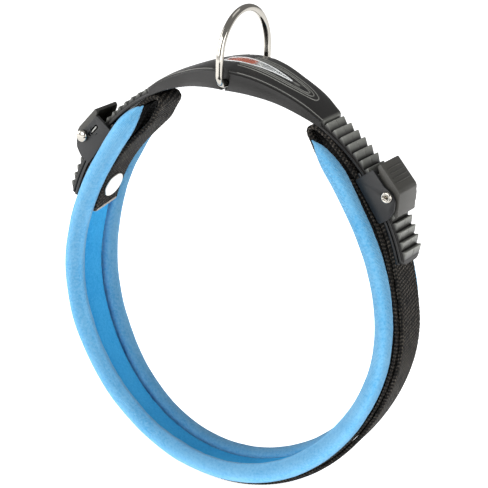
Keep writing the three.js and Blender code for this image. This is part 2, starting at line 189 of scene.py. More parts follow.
def finish_mesh(bm: bmesh.types.BMesh, name: str, sharp: float = 180.0) -> bpy.types.Object:
    """Turns a finished bmesh in millimetres into an object in metres.

    Args:
        bm: the mesh, which is freed.
        name: the object's name.
        sharp: edges steeper than this many degrees are shaded as hard edges.

    Returns:
        The new object, at the origin.
    """
    bmesh.ops.scale(bm, vec=(MM, MM, MM), verts=bm.verts)
    for face in bm.faces:
        face.smooth = True
    for edge in bm.edges:
        edge.smooth = edge.calc_face_angle(0.0) < math.radians(sharp)
    mesh = bpy.data.meshes.new(name)
    bm.to_mesh(mesh)
    bm.free()
    piece = bpy.data.objects.new(name, mesh)
    bpy.context.scene.collection.objects.link(piece)
    return piece


def sweep_mesh(stations: Sequence[Sequence[Vector]], closed: bool = False) -> bmesh.types.BMesh:
    """Extrudes a closed outline from station to station, with a UV map in millimetres.

    Args:
        stations: the outline's points at each station, always the same number of points.
        closed: whether the last station joins the first.

    Returns:
        A closed mesh. U runs round the outline, and V along the sweep.
    """
    bm = bmesh.new()
    uv = bm.loops.layers.uv.new("UVMap")
    count = len(stations[0])
    ring = [bm.verts.new(p) for p in stations[0]]
    edges = [bm.edges.new((ring[k], ring[(k + 1) % count])) for k in range(count)]
    start = list(ring)
    reach = [0.0]
    for k in range(count):
        reach.append(reach[-1] + (stations[0][(k + 1) % count] - stations[0][k]).length)
    along = 0.0
    for before, points in zip(stations, stations[1:]):
        step = sum((p - q).length for p, q in zip(points, before)) / count
        grown = bmesh.ops.extrude_edge_only(bm, edges=edges)["geom"]
        fresh = {item for item in grown if isinstance(item, bmesh.types.BMVert)}
        order = {vert: k for k, vert in enumerate(ring)}
        ring = [next(e.other_vert(v) for e in v.link_edges if e.other_vert(v) in fresh) for v in ring]
        far = {vert: k for k, vert in enumerate(ring)}
        for vert, point in zip(ring, points):
            vert.co = point
        for face in (item for item in grown if isinstance(item, bmesh.types.BMFace)):
            ks = [order.get(loop.vert, far.get(loop.vert)) for loop in face.loops]
            wraps = max(ks) - min(ks) > 1
            for loop, k in zip(face.loops, ks):
                u = reach[count] if wraps and k == 0 else reach[k]
                loop[uv].uv = (u, along if loop.vert in order else along + step)
        edges = [bm.edges.get((ring[k], ring[(k + 1) % count])) for k in range(count)]
        along += step
    if closed:
        bmesh.ops.remove_doubles(bm, verts=start + ring, dist=1e-4)
    else:
        bmesh.ops.holes_fill(bm, edges=[e for e in bm.edges if e.is_boundary], sides=0)
    bmesh.ops.recalc_face_normals(bm, faces=bm.faces)
    return bm


def tube_stations(
    path: Sequence[Vector],
    outline: Callable[[float], Sequence[tuple[float, float]]],
    side: Vector,
    closed: bool = False,
) -> list[list[Vector]]:
    """Places an outline square to a path at each of its points.

    Args:
        path: the path's points; a closed path repeats its first point at its end.
        outline: the outline for a place from 0 to 1 along the path, as (side, out) pairs.
        side: the direction that the outline's first number is measured in.
        closed: whether the path is a loop.

    Returns:
        The stations for sweep_mesh.
    """
    stations = []
    last = len(path) - 1
    for i, point in enumerate(path):
        before = path[i - 1] if i else path[last - 1 if closed else 0]
        after = path[i + 1] if i < last else path[1 if closed else last]
        forward = (after - before).normalized()
        out = side.cross(forward).normalized()
        across = forward.cross(out).normalized()
        stations.append([point + across * x + out * y for x, y in outline(i / last)])
    return stations


def tube(
    name: str, path: Sequence[Vector], radius: float, sides: int, side: Vector, closed: bool = False
) -> bpy.types.Object:
    """Makes a round wire along a path.

    Args:
        name: the object's name.
        path: the wire's centre line.
        radius: the wire's radius.
        sides: how many sides its section has.
        side: a direction that the path is never parallel to.
        closed: whether the path is a loop.

    Returns:
        The wire.
    """
    section = ellipse(radius, radius, sides)
    return finish_mesh(sweep_mesh(tube_stations(path, lambda t: section, side, closed), closed), name)


def plate_mesh(
    outline: Sequence[Vector], y0: float, y1: float, holes: Sequence[Sequence[Vector]] = ()
) -> bmesh.types.BMesh:
    """Extrudes an outline in the XZ plane along Y.

    Args:
        outline: the outer edge.
        y0: the near side.
        y1: the far side.
        holes: edges of holes through the plate.

    Returns:
        A closed mesh.
    """
    bm = bmesh.new()
    edges = []
    for loop in (outline, *holes):
        verts = [bm.verts.new((p.x, y0, p.z)) for p in loop]
        edges += [bm.edges.new((a, b)) for a, b in zip(verts, verts[1:] + verts[:1])]
    bmesh.ops.triangle_fill(bm, edges=edges, use_beauty=True, use_dissolve=True)
    grown = bmesh.ops.extrude_face_region(bm, geom=bm.faces[:])["geom"]
    moved = [item for item in grown if isinstance(item, bmesh.types.BMVert)]
    bmesh.ops.translate(bm, verts=moved, vec=(0, y1 - y0, 0))
    bmesh.ops.recalc_face_normals(bm, faces=bm.faces)
    return bm


def soften(bm: bmesh.types.BMesh, width: float, segments: int = 3, angle: float = 28.0) -> None:
    """Rounds every edge steeper than an angle.

    Args:
        bm: a closed mesh, changed in place.
        width: how wide the rounding is.
        segments: how many faces it has.
        angle: edges flatter than this many degrees stay.
    """
    steep = [e for e in bm.edges if e.is_manifold and e.calc_face_angle() > math.radians(angle)]
    bmesh.ops.bevel(
        bm, geom=steep, offset=width, offset_type="OFFSET", segments=segments, profile=0.5,
        affect="EDGES", clamp_overlap=True, material=-1,
    )


def lathe_mesh(profile: Sequence[tuple[float, float]], steps: int = 48) -> bmesh.types.BMesh:
    """Spins a profile round the Y axis.

    Args:
        profile: (radius, y) pairs that start and end on the axis.
        steps: how many steps a full turn takes.

    Returns:
        A closed mesh whose axis is Y, through the origin.
    """
    bm = bmesh.new()
    verts = [bm.verts.new((r, y, 0)) for r, y in profile]
    edges = [bm.edges.new(pair) for pair in zip(verts, verts[1:])]
    bmesh.ops.spin(
        bm, geom=verts + edges, cent=(0, 0, 0), axis=(0, 1, 0), angle=2 * math.pi, steps=steps,
        use_merge=True, use_duplicate=False,
    )
    bmesh.ops.remove_doubles(bm, verts=bm.verts, dist=1e-4)
    bmesh.ops.recalc_face_normals(bm, faces=bm.faces)
    return bm


def radial_place(bm: bmesh.types.BMesh, degrees: float) -> None:
    """Turns a mesh whose axis is Y so that the axis is the strap's radius at an angle."""
    turn = Matrix.Rotation(math.radians(degrees), 4, "Y") @ Matrix.Rotation(math.pi / 2, 4, "X")
    shift = Matrix.Translation((0, 0, ARC_CENTRE_Z))
    bmesh.ops.transform(bm, matrix=shift @ turn, verts=bm.verts)


def join_meshes(parts: Sequence[bmesh.types.BMesh]) -> bmesh.types.BMesh:
    """Puts several meshes into the first one, and frees the rest."""
    whole = parts[0]
    for part in parts[1:]:
        shell = bpy.data.meshes.new("part")
        part.to_mesh(shell)
        part.free()
        whole.from_mesh(shell)
        bpy.data.meshes.remove(shell)
    return whole


def carve(body: bmesh.types.BMesh, cutters: Sequence[bmesh.types.BMesh]) -> bmesh.types.BMesh:
    """Cuts closed meshes out of a closed mesh.

    Args:
        body: the mesh to cut, which is freed.
        cutters: the meshes to cut away, which are freed.

    Returns:
        The cut mesh.
    """
    piece = finish_mesh(body, "blank")
    tools = []
    for cutter in cutters:
        tool = finish_mesh(cutter, "cutter")
        tools.append(tool)
        cut = piece.modifiers.new("cut", "BOOLEAN")
        cut.operation = "DIFFERENCE"
        cut.solver = "EXACT"
        cut.object = tool
    graph = bpy.context.evaluated_depsgraph_get()
    bm = bmesh.new()
    bm.from_mesh(piece.evaluated_get(graph).to_mesh())
    for spare in (piece, *tools):
        bpy.data.objects.remove(spare)
    bmesh.ops.scale(bm, vec=(1 / MM,) * 3, verts=bm.verts)
    bmesh.ops.dissolve_degenerate(bm, dist=0.001, edges=bm.edges)
    return bm


def half_turn(bm: bmesh.types.BMesh, side: Side) -> bmesh.types.BMesh:
    """Turns a right-hand mesh half round about Z when the side is the left."""
    if side is Side.LEFT:
        bmesh.ops.rotate(bm, cent=(0, 0, 0), matrix=Matrix.Rotation(math.pi, 3, "Z"), verts=bm.verts)
    return bm


# ---- Materials ----------------------------------------------------------------------------


def linear(hex_colour: str) -> tuple[float, float, float, float]:
    """Turns an sRGB hex colour such as "78b9eb" into linear RGBA."""
    values = [int(hex_colour[i:i + 2], 16) / 255 for i in (0, 2, 4)]
    return (*(v / 12.92 if v <= 0.04045 else ((v + 0.055) / 1.055) ** 2.4 for v in values), 1.0)


def add_node(tree: bpy.types.NodeTree, kind: str, settings: dict | None = None, **links) -> bpy.types.Node:
    """Adds a shader node.

    Args:
        tree: the material's node tree.
        kind: the node's type, such as "ShaderNodeTexNoise".
        settings: the node's own properties by name, and its sockets' values by number or name.
        links: output sockets to plug into inputs, by input name with _ for a space, or i0 for 0.

    Returns:
        The node.
    """
    node = tree.nodes.new(kind)
    for key, value in (settings or {}).items():
        if isinstance(key, int) or key in node.inputs:
            node.inputs[key].default_value = value
        else:
            setattr(node, key, value)
    for key, socket in links.items():
        name = int(key[1:]) if key[0] == "i" and key[1:].isdigit() else key.replace("_", " ")
        tree.links.new(socket, node.inputs[name])
    return node


class Finish:
    """A material under construction: its tree, its shader and the ways to add to them."""

    def __init__(self, name: str, base: str, roughness: float, **sockets) -> None:
        """Starts a finish.

        Args:
            name: the material's name.
            base: its sRGB colour.
            roughness: its roughness.
            sockets: further Principled values, by input name with _ for a space.
        """
        self.material = bpy.data.materials.new(name)
        self.material.use_nodes = True
        self.tree = self.material.node_tree
        self.shader = self.tree.nodes["Principled BSDF"]
        self.shader.inputs["Base Color"].default_value = linear(base)
        self.shader.inputs["Roughness"].default_value = roughness
        for key, value in sockets.items():
            self.shader.inputs[key.replace("_", " ")].default_value = value
        self.material.diffuse_color = linear(base)

    def add(self, kind: str, settings: dict | None = None, **links) -> bpy.types.Node:
        """Adds a node to this finish's tree."""
        return add_node(self.tree, kind, settings, **links)

    def plug(self, socket: Socket, name: str) -> None:
        """Links an output to one of the shader's inputs."""
        self.tree.links.new(socket, self.shader.inputs[name])

    def noise(self, scale: float, detail: float = 3.0, vector: Socket | None = None,
              roughness: float = 0.5) -> Socket:
        """Adds 3-D noise.

        Args:
            scale: its cycles per metre.
            detail: its number of finer layers.
            vector: where it is read, or None for the piece's own coordinates.
            roughness: how strong the finer layers are.

        Returns:
            The noise, from 0 to 1.
        """
        source = vector or self.add("ShaderNodeTexCoord").outputs["Object"]
        settings = {"Scale": scale, "Detail": detail, "Roughness": roughness}
        return self.add("ShaderNodeTexNoise", settings, Vector=source).outputs["Fac"]

    def maths(self, operation: str, a: Socket | float, b: Socket | float = 0.0,
              c: Socket | float = 0.0) -> Socket:
        """Adds a maths node.

        Args:
            operation: what it works out.
            a: its first value.
            b: its second value.
            c: its third value.

        Returns:
            The result.
        """
        node = self.add("ShaderNodeMath", {"operation": operation})
        for slot, value in enumerate((a, b, c)):
            if isinstance(value, Socket):
                self.tree.links.new(value, node.inputs[slot])
            else:
                node.inputs[slot].default_value = value
        return node.outputs[0]

    def blend(self, factor: Socket, first: Socket | str, second: Socket | str) -> Socket:
        """Mixes two colours.

        Args:
            factor: the share of the second colour.
            first: a hex colour or a socket.
            second: a hex colour or a socket.

        Returns:
            The mixed colour.
        """
        node = self.add("ShaderNodeMix", {"data_type": "RGBA"})
        self.tree.links.new(factor, node.inputs["Factor"])
        for slot, value in ((6, first), (7, second)):
            if isinstance(value, str):
                node.inputs[slot].default_value = linear(value)
            else:
                self.tree.links.new(value, node.inputs[slot])
        return node.outputs[2]

    def bump(self, height: Socket, depth: float, strength: float = 1.0) -> None:
        """Adds a bump, in metres of depth, on top of any bump that is there."""
        node = self.add("ShaderNodeBump", {"Strength": strength, "Distance": depth}, Height=height)
        normal = self.shader.inputs["Normal"]
        if normal.links:
            self.tree.links.new(normal.links[0].from_socket, node.inputs["Normal"])
        self.tree.links.new(node.outputs[0], normal)

    def uv(self) -> tuple[Socket, Socket]:
        """Gives the piece's UV map, in millimetres, as U and V sockets."""
        source = self.add("ShaderNodeUVMap", {"uv_map": "UVMap"}).outputs[0]
        parts = self.add("ShaderNodeSeparateXYZ", Vector=source)
        return parts.outputs[0], parts.outputs[1]


@dataclass(frozen=True)
class BrushedKnit:
    """Warp-knit nylon with a brushed face over foam: matt, with a soft pale fuzz."""

    name: str
    face: str
    shade: str
    sheen: float
    wale_mm: float = 0.9  # drawn about twice as coarse as the real wales, so that they show
    fuzz_mm: float = 1.3

    def make(self) -> bpy.types.Material:
        """Builds the material."""
        f = Finish(self.name, self.face, 0.92, Sheen_Weight=self.sheen, Sheen_Roughness=0.5,
                   Specular_IOR_Level=0.12)
        f.shader.inputs["Sheen Tint"].default_value = linear("dcecf8")
        u, v = f.uv()
        mottled = f.noise(1000 / 14, 2.0)
        fuzz = f.noise(1000 / self.fuzz_mm, 4.0, roughness=0.65)
        tone = f.maths("MULTIPLY_ADD", fuzz, 0.8, f.maths("MULTIPLY", mottled, 0.3))
        f.plug(f.blend(f.add("ShaderNodeMapRange", {1: 0.36, 2: 0.66}, Value=tone).outputs[0],
                       self.shade, self.face), "Base Color")
        wales = f.maths("SINE", f.maths("MULTIPLY", u, 2 * math.pi / self.wale_mm))
        courses = f.maths("SINE", f.maths("MULTIPLY", v, 2 * math.pi / (self.wale_mm * 0.8)))
        knit = f.maths("MULTIPLY", wales, courses)
        f.bump(f.maths("MULTIPLY_ADD", knit, 0.35, fuzz), 0.0006, 0.9)
        return f.material


@dataclass(frozen=True)
class WovenWebbing:
    """Filament polyester webbing: black, with cross picks, lengthwise ribs, and crests painted paler as a
    painted highlight of the filaments' glint.
    """

    name: str = "woven_webbing"
    glint_crest: str = "6b645b"
    valley: str = "030303"
    rib_mm: float = 1.9
    pick_mm: float = 2.1  # drawn a little coarser than the real picks
    waver_mm: float = 1.1

    def make(self) -> bpy.types.Material:
        """Builds the material."""
        f = Finish(self.name, self.valley, 0.78, Specular_IOR_Level=0.2)
        u, v = f.uv()
        waver = f.maths("MULTIPLY", f.noise(1000 / 9, 2.0), self.waver_mm)
        rib = f.maths("MULTIPLY", f.maths("ADD", u, waver), 2 * math.pi / self.rib_mm)
        turn = f.maths("FLOOR", f.maths("MULTIPLY", u, 1 / self.rib_mm))
        pick = f.maths("MULTIPLY_ADD", v, 2 * math.pi / self.pick_mm, f.maths("MULTIPLY", turn, math.pi / 2))
        height = f.maths("MULTIPLY_ADD", f.maths("COSINE", rib), 0.5, f.maths("SINE", pick))
        long_fibres = f.add("ShaderNodeCombineXYZ", {}, X=f.maths("MULTIPLY", u, 1.1),
                            Y=f.maths("MULTIPLY", v, 0.16)).outputs[0]
        streak = f.noise(1.0, 3.0, vector=long_fibres, roughness=0.6)
        level = f.add("ShaderNodeMapRange", {1: -0.7, 2: 1.3}, Value=height).outputs[0]
        bright = f.add("ShaderNodeMapRange", {1: 0.38, 2: 0.72}, Value=streak).outputs[0]
        # Crests take the paler colour, streaked by noise: a painted highlight standing in for the glint on
        # the weave's crests.
        f.plug(f.blend(f.maths("MULTIPLY", level, bright), self.valley, self.glint_crest), "Base Color")
        f.bump(f.maths("MULTIPLY_ADD", f.noise(1000 / 0.5, 3.0), 0.3, level), 0.0007, 1.0)
        return f.material


@dataclass(frozen=True)
class MouldedNylon:
    """Glass-filled nylon from a fine-textured mould: satin, mottled a little paler here and there."""

    name: str
    colour: str
    edge: str
    roughness: float
    grain_mm: float = 0.45

    def make(self) -> bpy.types.Material:
        """Builds the material."""
        f = Finish(self.name, self.colour, self.roughness, Specular_IOR_Level=0.5)
        grain = f.noise(1000 / self.grain_mm, 4.0)
        cloud = f.noise(1000 / 18, 3.0)
        f.plug(f.blend(f.add("ShaderNodeMapRange", {1: 0.35, 2: 0.75, 3: 0.0, 4: 0.35}, Value=cloud)
                       .outputs[0], self.colour, self.edge), "Base Color")
        rough = f.maths("MULTIPLY_ADD", cloud, 0.16, self.roughness - 0.08)
        f.plug(f.maths("MULTIPLY_ADD", grain, 0.08, rough), "Roughness")
        f.bump(grain, 0.00004, 0.5)
        return f.material


@dataclass(frozen=True)
class ToothedNylon:
    """The strap's nylon: as the buckle's, but its tooth tops are scuffed to a paler grey."""

    colour: str = "1d1c1b"
    scuffed: str = "8b8c86"
    low_r: float = 104.2
    high_r: float = 106.4

    def make(self) -> bpy.types.Material:
        """Builds the material."""
        f = Finish("toothed_nylon", self.colour, 0.36, Specular_IOR_Level=0.35)
        place = f.add("ShaderNodeTexCoord").outputs["Object"]
        parts = f.add("ShaderNodeSeparateXYZ", Vector=place)
        x, z = parts.outputs[0], f.maths("SUBTRACT", parts.outputs[2], ARC_CENTRE_Z * MM)
        r = f.maths("SQRT", f.maths("ADD", f.maths("MULTIPLY", x, x), f.maths("MULTIPLY", z, z)))
        height = f.add("ShaderNodeMapRange", {1: self.low_r * MM, 2: self.high_r * MM}, Value=r)
        turn = f.maths("ABSOLUTE", f.maths("ARCTAN2", x, z))
        tail = f.add("ShaderNodeMapRange", {1: math.radians(28.8), 2: math.radians(30.2)}, Value=turn)
        scuff = f.noise(1000 / 2.5, 4.0)
        rubbed = f.maths("MULTIPLY", f.maths("MULTIPLY", height.outputs[0], tail.outputs[0]),
                         f.maths("MULTIPLY_ADD", scuff, 0.5, 0.6))
        f.plug(f.blend(rubbed, self.colour, self.scuffed), "Base Color")
        grain = f.noise(1000 / 0.45, 4.0)
        f.plug(f.maths("MULTIPLY_ADD", scuff, 0.2, 0.26), "Roughness")
        f.bump(grain, 0.00004, 0.5)
        return f.material


@dataclass(frozen=True)
class NickelPlate:
    """Polished nickel over steel: a warm white mirror with faint handling haze."""

    name: str = "polished_nickel"
    colour: str = "b3afa7"
    roughness: float = 0.1

    def make(self) -> bpy.types.Material:
        """Builds the material."""
        f = Finish(self.name, self.colour, self.roughness, Metallic=1.0)
        haze = f.noise(1000 / 3.0, 5.0, roughness=0.6)
        f.plug(f.maths("MULTIPLY_ADD", haze, 0.14, self.roughness - 0.06), "Roughness")
        f.bump(f.noise(1000 / 6.0, 2.0), 0.00003, 0.3)
        return f.material


@dataclass(frozen=True)
class PrintedFoil:
    """Printed foil under the resin: a flame of orange that gives way to silver grey."""

    flame: str = "f0661a"
    deep: str = "b53c08"
    silver: str = "c4c8c8"

    def make(self) -> bpy.types.Material:
        """Builds the material."""
        f = Finish("printed_foil", self.flame, 0.4)
        place = f.add("ShaderNodeTexCoord").outputs["Object"]
        parts = f.add("ShaderNodeSeparateXYZ", Vector=place)
        ragged = f.maths("MULTIPLY_ADD", f.noise(1000 / 3.0, 2.0), 0.012, parts.outputs[0])
        fade = f.add("ShaderNodeMapRange", {1: 0.012, 2: 0.0145}, Value=ragged).outputs[0]
        flame = f.blend(f.noise(1000 / 2.0, 3.0), self.deep, self.flame)
        f.plug(f.blend(fade, flame, self.silver), "Base Color")
        return f.material


@dataclass(frozen=True)
class ClearResin:
    """Doming resin: water-clear and very glossy."""

    def make(self) -> bpy.types.Material:
        """Builds the material."""
        f = Finish("doming_resin", "ffffff", 0.03, Transmission_Weight=1.0, IOR=1.5, Alpha=0.2)
        f.shader.inputs["Coat Weight"].default_value = 0.3
        return f.material


@dataclass(frozen=True)
class SealedEdge:
    """Webbing melted with a hot knife: a smooth, hard, paler grey lip."""

    dark: str = "7d756d"
    pale: str = "cbc4bb"
    lump_mm: float = 1.2

    def make(self) -> bpy.types.Material:
        """Builds the material."""
        f = Finish("sealed_webbing_end", self.dark, 0.5)
        lumps = f.noise(1000 / self.lump_mm, 3.0)
        f.plug(f.blend(lumps, self.dark, self.pale), "Base Color")
        f.bump(lumps, 0.0003, 0.6)
        return f.material


class Paintbox:
    """Every finish on the collar, made once."""

    def __init__(self) -> None:
        """Makes the materials."""
        self.knit = BrushedKnit("brushed_knit", "74b3da", "4a9acc", 0.3).make()
        # The channel's knit is the rolls' cloth, given its own deeper, more saturated blue as painted shade
        # for the channel's recess and its blue interreflection.
        self.channel_shade_knit = BrushedKnit("channel_shade_knit", "4abaf7", "35a4e8", 0.0).make()
        self.thread = MouldedNylon("bonded_thread", "0d5f96", "1a77b4", 0.6).make()
        self.webbing = WovenWebbing().make()
        # A copy of the webbing's weave with its crests' painted highlight toned down: painted shade for the
        # plies deep in the folds and for the seam tapes behind the rolls.
        self.shaded_lining = WovenWebbing("shaded_lining_weave", "2e2c2a").make()
        self.strap = ToothedNylon().make()
        self.housing = MouldedNylon("housing_nylon", "0d0e10", "191b1d", 0.36).make()
        self.lever = MouldedNylon("lever_nylon", "3b3a36", "504e49", 0.42).make()
        self.nickel = NickelPlate().make()
        self.cap = NickelPlate("tumbled_nickel", "e9e7e2", 0.34).make()
        self.steel = NickelPlate("drawn_steel", "9c9c98", 0.28).make()
        # A pale grey painted on thin tubes along the crown's ridges and top edges, standing in for their
        # highlights; the drop's tail uses it too.
        self.highlight_line = MouldedNylon("painted_highlight_nylon", "6f6f6b", "858580", 0.3).make()
        self.field = MouldedNylon("matt_nylon_field", "3d3d3a", "4a4a46", 0.5).make()
        self.foil = PrintedFoil().make()
        self.resin = ClearResin().make()
        self.print_line = MouldedNylon("printed_line", "e4e6e6", "f4f6f6", 0.4).make()
        # A near-black used as painted shadow: the black patch standing in for the recess at the crown's tip.
        self.shadow = MouldedNylon("recess_shadow_black", "0d0d0d", "161616", 0.5).make()
        self.sealed = SealedEdge().make()


def dress(
    piece: bpy.types.Object,
    material: bpy.types.Material,
    body: Body,
    stands_for: Sequence[str] = (),
) -> bpy.types.Object:
    """Gives a piece its finish, its body and the nodes that it stands for.

    Args:
        piece: the finished piece.
        material: its finish.
        body: what it moves with.
        stands_for: frame nodes that it replaces.

    Returns:
        The piece.
    """
    piece.data.materials.clear()
    piece.data.materials.append(material)
    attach(piece, body.value)
    if stands_for:
        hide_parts(*stands_for)
    log.info("%s: %d faces on %s", piece.name, len(piece.data.polygons), body.value)
    return piece


# ---- Studio -------------------------------------------------------------------------------


@dataclass
class Studio:
    """The camera, the lights, the floor and the world."""

    azimuth: float = 30.6
    elevation: float = 19.4
    distance_m: float = 1.052
    lens_mm: float = 148.0
    shift: tuple[float, float] = (0.0113, 0.0098)
    roll_degrees: float = 1.6
    floor_m: float = 60.0

    def build(self) -> None:
        """Makes everything that isn't the collar."""
        self.camera()
        self.floor()
        self.light("side_panel", (1.5, -0.55, 0.35), 1.1, 14.0)
        self.light("front_panel", (-0.35, -1.6, 0.75), 1.3, 20.0)
        self.light("left_panel", (-1.4, -0.5, 0.5), 1.0, 12.0)
        self.light("top_panel", (0.1, 0.5, 1.6), 0.8, 2.0)
        self.world()

    def camera(self) -> None:
        """Aims the camera at the origin from the front right."""
        data = bpy.data.cameras.new("camera")
        data.lens = self.lens_mm
        data.shift_x, data.shift_y = self.shift
        camera = bpy.data.objects.new("camera", data)
        a, e = math.radians(self.azimuth), math.radians(self.elevation)
        away = Vector((math.sin(a) * math.cos(e), -math.cos(a) * math.cos(e), math.sin(e)))
        camera.location = away * self.distance_m
        roll = Quaternion((0, 0, 1), math.radians(self.roll_degrees))
        camera.rotation_euler = (away.to_track_quat("Z", "Y") @ roll).to_euler()
        bpy.context.scene.collection.objects.link(camera)
        bpy.context.scene.camera = camera

    def floor(self) -> None:
        """Lays a pale floor under the band."""
        bm = bmesh.new()
        bmesh.ops.create_grid(bm, x_segments=1, y_segments=1, size=self.floor_m / 2)
        bmesh.ops.translate(bm, verts=bm.verts, vec=(0, 0, FLOOR_Z))
        bmesh.ops.scale(bm, vec=(1 / MM,) * 3, verts=bm.verts)
        floor = finish_mesh(bm, "studio_floor")
        glow = {"Emission_Color": (1.0, 1.0, 1.0, 1.0), "Emission_Strength": 0.85}
        floor.data.materials.append(Finish("lit_floor", "fafafa", 0.9, **glow).material)
        self.card()

    def card(self) -> None:
        """Lays an unseen black card on the floor, so that metal has something dark to mirror."""
        bm = bmesh.new()
        bmesh.ops.create_grid(bm, x_segments=1, y_segments=1, size=500)
        bmesh.ops.scale(bm, vec=(0.62, 0.9, 1), verts=bm.verts)
        bmesh.ops.translate(bm, verts=bm.verts, vec=(0, -740, FLOOR_Z / MM + 2))
        turn = Matrix.Rotation(math.radians(self.azimuth), 4, "Z")
        bmesh.ops.transform(bm, matrix=turn, verts=bm.verts)
        card = finish_mesh(bm, "black_card")
        card.data.materials.append(Finish("card_black", "0c0c0c", 0.9).material)
        card.visible_camera = card.visible_shadow = False

    def light(self, name: str, place: tuple[float, float, float], size: float, watts: float) -> None:
        """Adds a soft square light that faces the origin.

        Args:
            name: the light's name.
            place: where it hangs, in metres.
            size: its side, in metres.
            watts: its power.
        """
        data = bpy.data.lights.new(name, "AREA")
        data.energy = watts
        data.size = size
        lamp = bpy.data.objects.new(name, data)
        lamp.location = place
        lamp.rotation_euler = Vector(place).to_track_quat("Z", "Y").to_euler()
        bpy.context.scene.collection.objects.link(lamp)

    def world(self) -> None:
        """Sets an even pale surround, and shows colours as they are."""
        world = bpy.data.worlds.new("surround")
        world.use_nodes = True
        background = world.node_tree.nodes["Background"]
        background.inputs["Color"].default_value = (1.0, 1.0, 1.0, 1.0)
        background.inputs["Strength"].default_value = 0.3
        bpy.context.scene.world = world
        bpy.context.scene.view_settings.view_transform = "Standard"


# ---- Padded band --------------------------------------------------------------------------


@dataclass(frozen=True)
class BandCurve:
    """The sewn line of the padding, and how the soft band hangs from it."""

    base_r: float = 90.0
    egg_turn: float = 1.25
    sag: float = 1.3
    lean: tuple[float, float, float] = (7.2, 201.0, 32.0)
    tuck: tuple[float, float, float] = (-2.4, 138.0, 26.0)
    roll_offset: float = 16.3

    def roll(self, degrees: float) -> float:
        """Gives the rolls' radius about the origin: an egg, long at the bottom."""
        a = math.radians(degrees + self.egg_turn)
        return (97.3 - 12.9 * math.cos(a) + 8.6 * math.cos(2 * a) + 2.2 * math.cos(3 * a)
                + 1.6 * math.cos(4 * a))

    def layer(self, degrees: float) -> float:
        """Gives the flat layers' radius about the origin: round near the buckles, then the egg."""
        a = math.radians(degrees)
        drop = ARC_CENTRE_Z * math.sin(a)
        arc = ARC_CENTRE_Z * math.cos(a) + math.sqrt(self.base_r**2 - drop**2)
        return lerp(arc, self.roll(degrees), smoothstep(min(degrees, 360 - degrees), 80, 108))

    def bare(self, radius_at: Callable[[float], float], degrees: float, out: float, y: float) -> Vector:
        """Gives a point of the band before it hangs.

        Args:
            radius_at: the curve, as a radius about the origin.
            degrees: the angle about the origin.
            out: the distance outward from the curve.
            y: the place along the neck.

        Returns:
            The point.
        """
        def at(d: float) -> Vector:
            """Gives the sewn line's point at an angle."""
            a = math.radians(d)
            return Vector((math.sin(a), 0, math.cos(a))) * radius_at(d)

        along = (at(degrees + 0.5) - at(degrees - 0.5)).normalized()
        point = at(degrees) + Vector((-along.z, 0, along.x)) * out
        point.y = y
        return point

    def place(self, radius_at: Callable[[float], float], degrees: float, out: float, y: float) -> Vector:
        """Gives a point of the hanging band, from the same values as bare."""
        return self.hung(self.bare(radius_at, degrees, out, y))

    def hung(self, point: Vector) -> Vector:
        """Moves a point as the band hangs: it sags, and its rear edge leans out at the bottom."""
        r = math.hypot(point.x, point.z)
        degrees = math.degrees(math.atan2(point.x, point.z)) % 360
        leaning = sum(out * math.exp(-(((degrees - at) / spread) ** 2))
                      for out, at, spread in (self.lean, self.tuck))
        share = (point.y + self.roll_offset) / (2 * self.roll_offset)
        below = smoothstep(min(degrees, 360 - degrees), 84, 118)
        shift = (self.sag + leaning * share) * below
        return Vector((point.x * (1 + shift / r), point.y, point.z * (1 + shift / r)))


BAND = BandCurve()


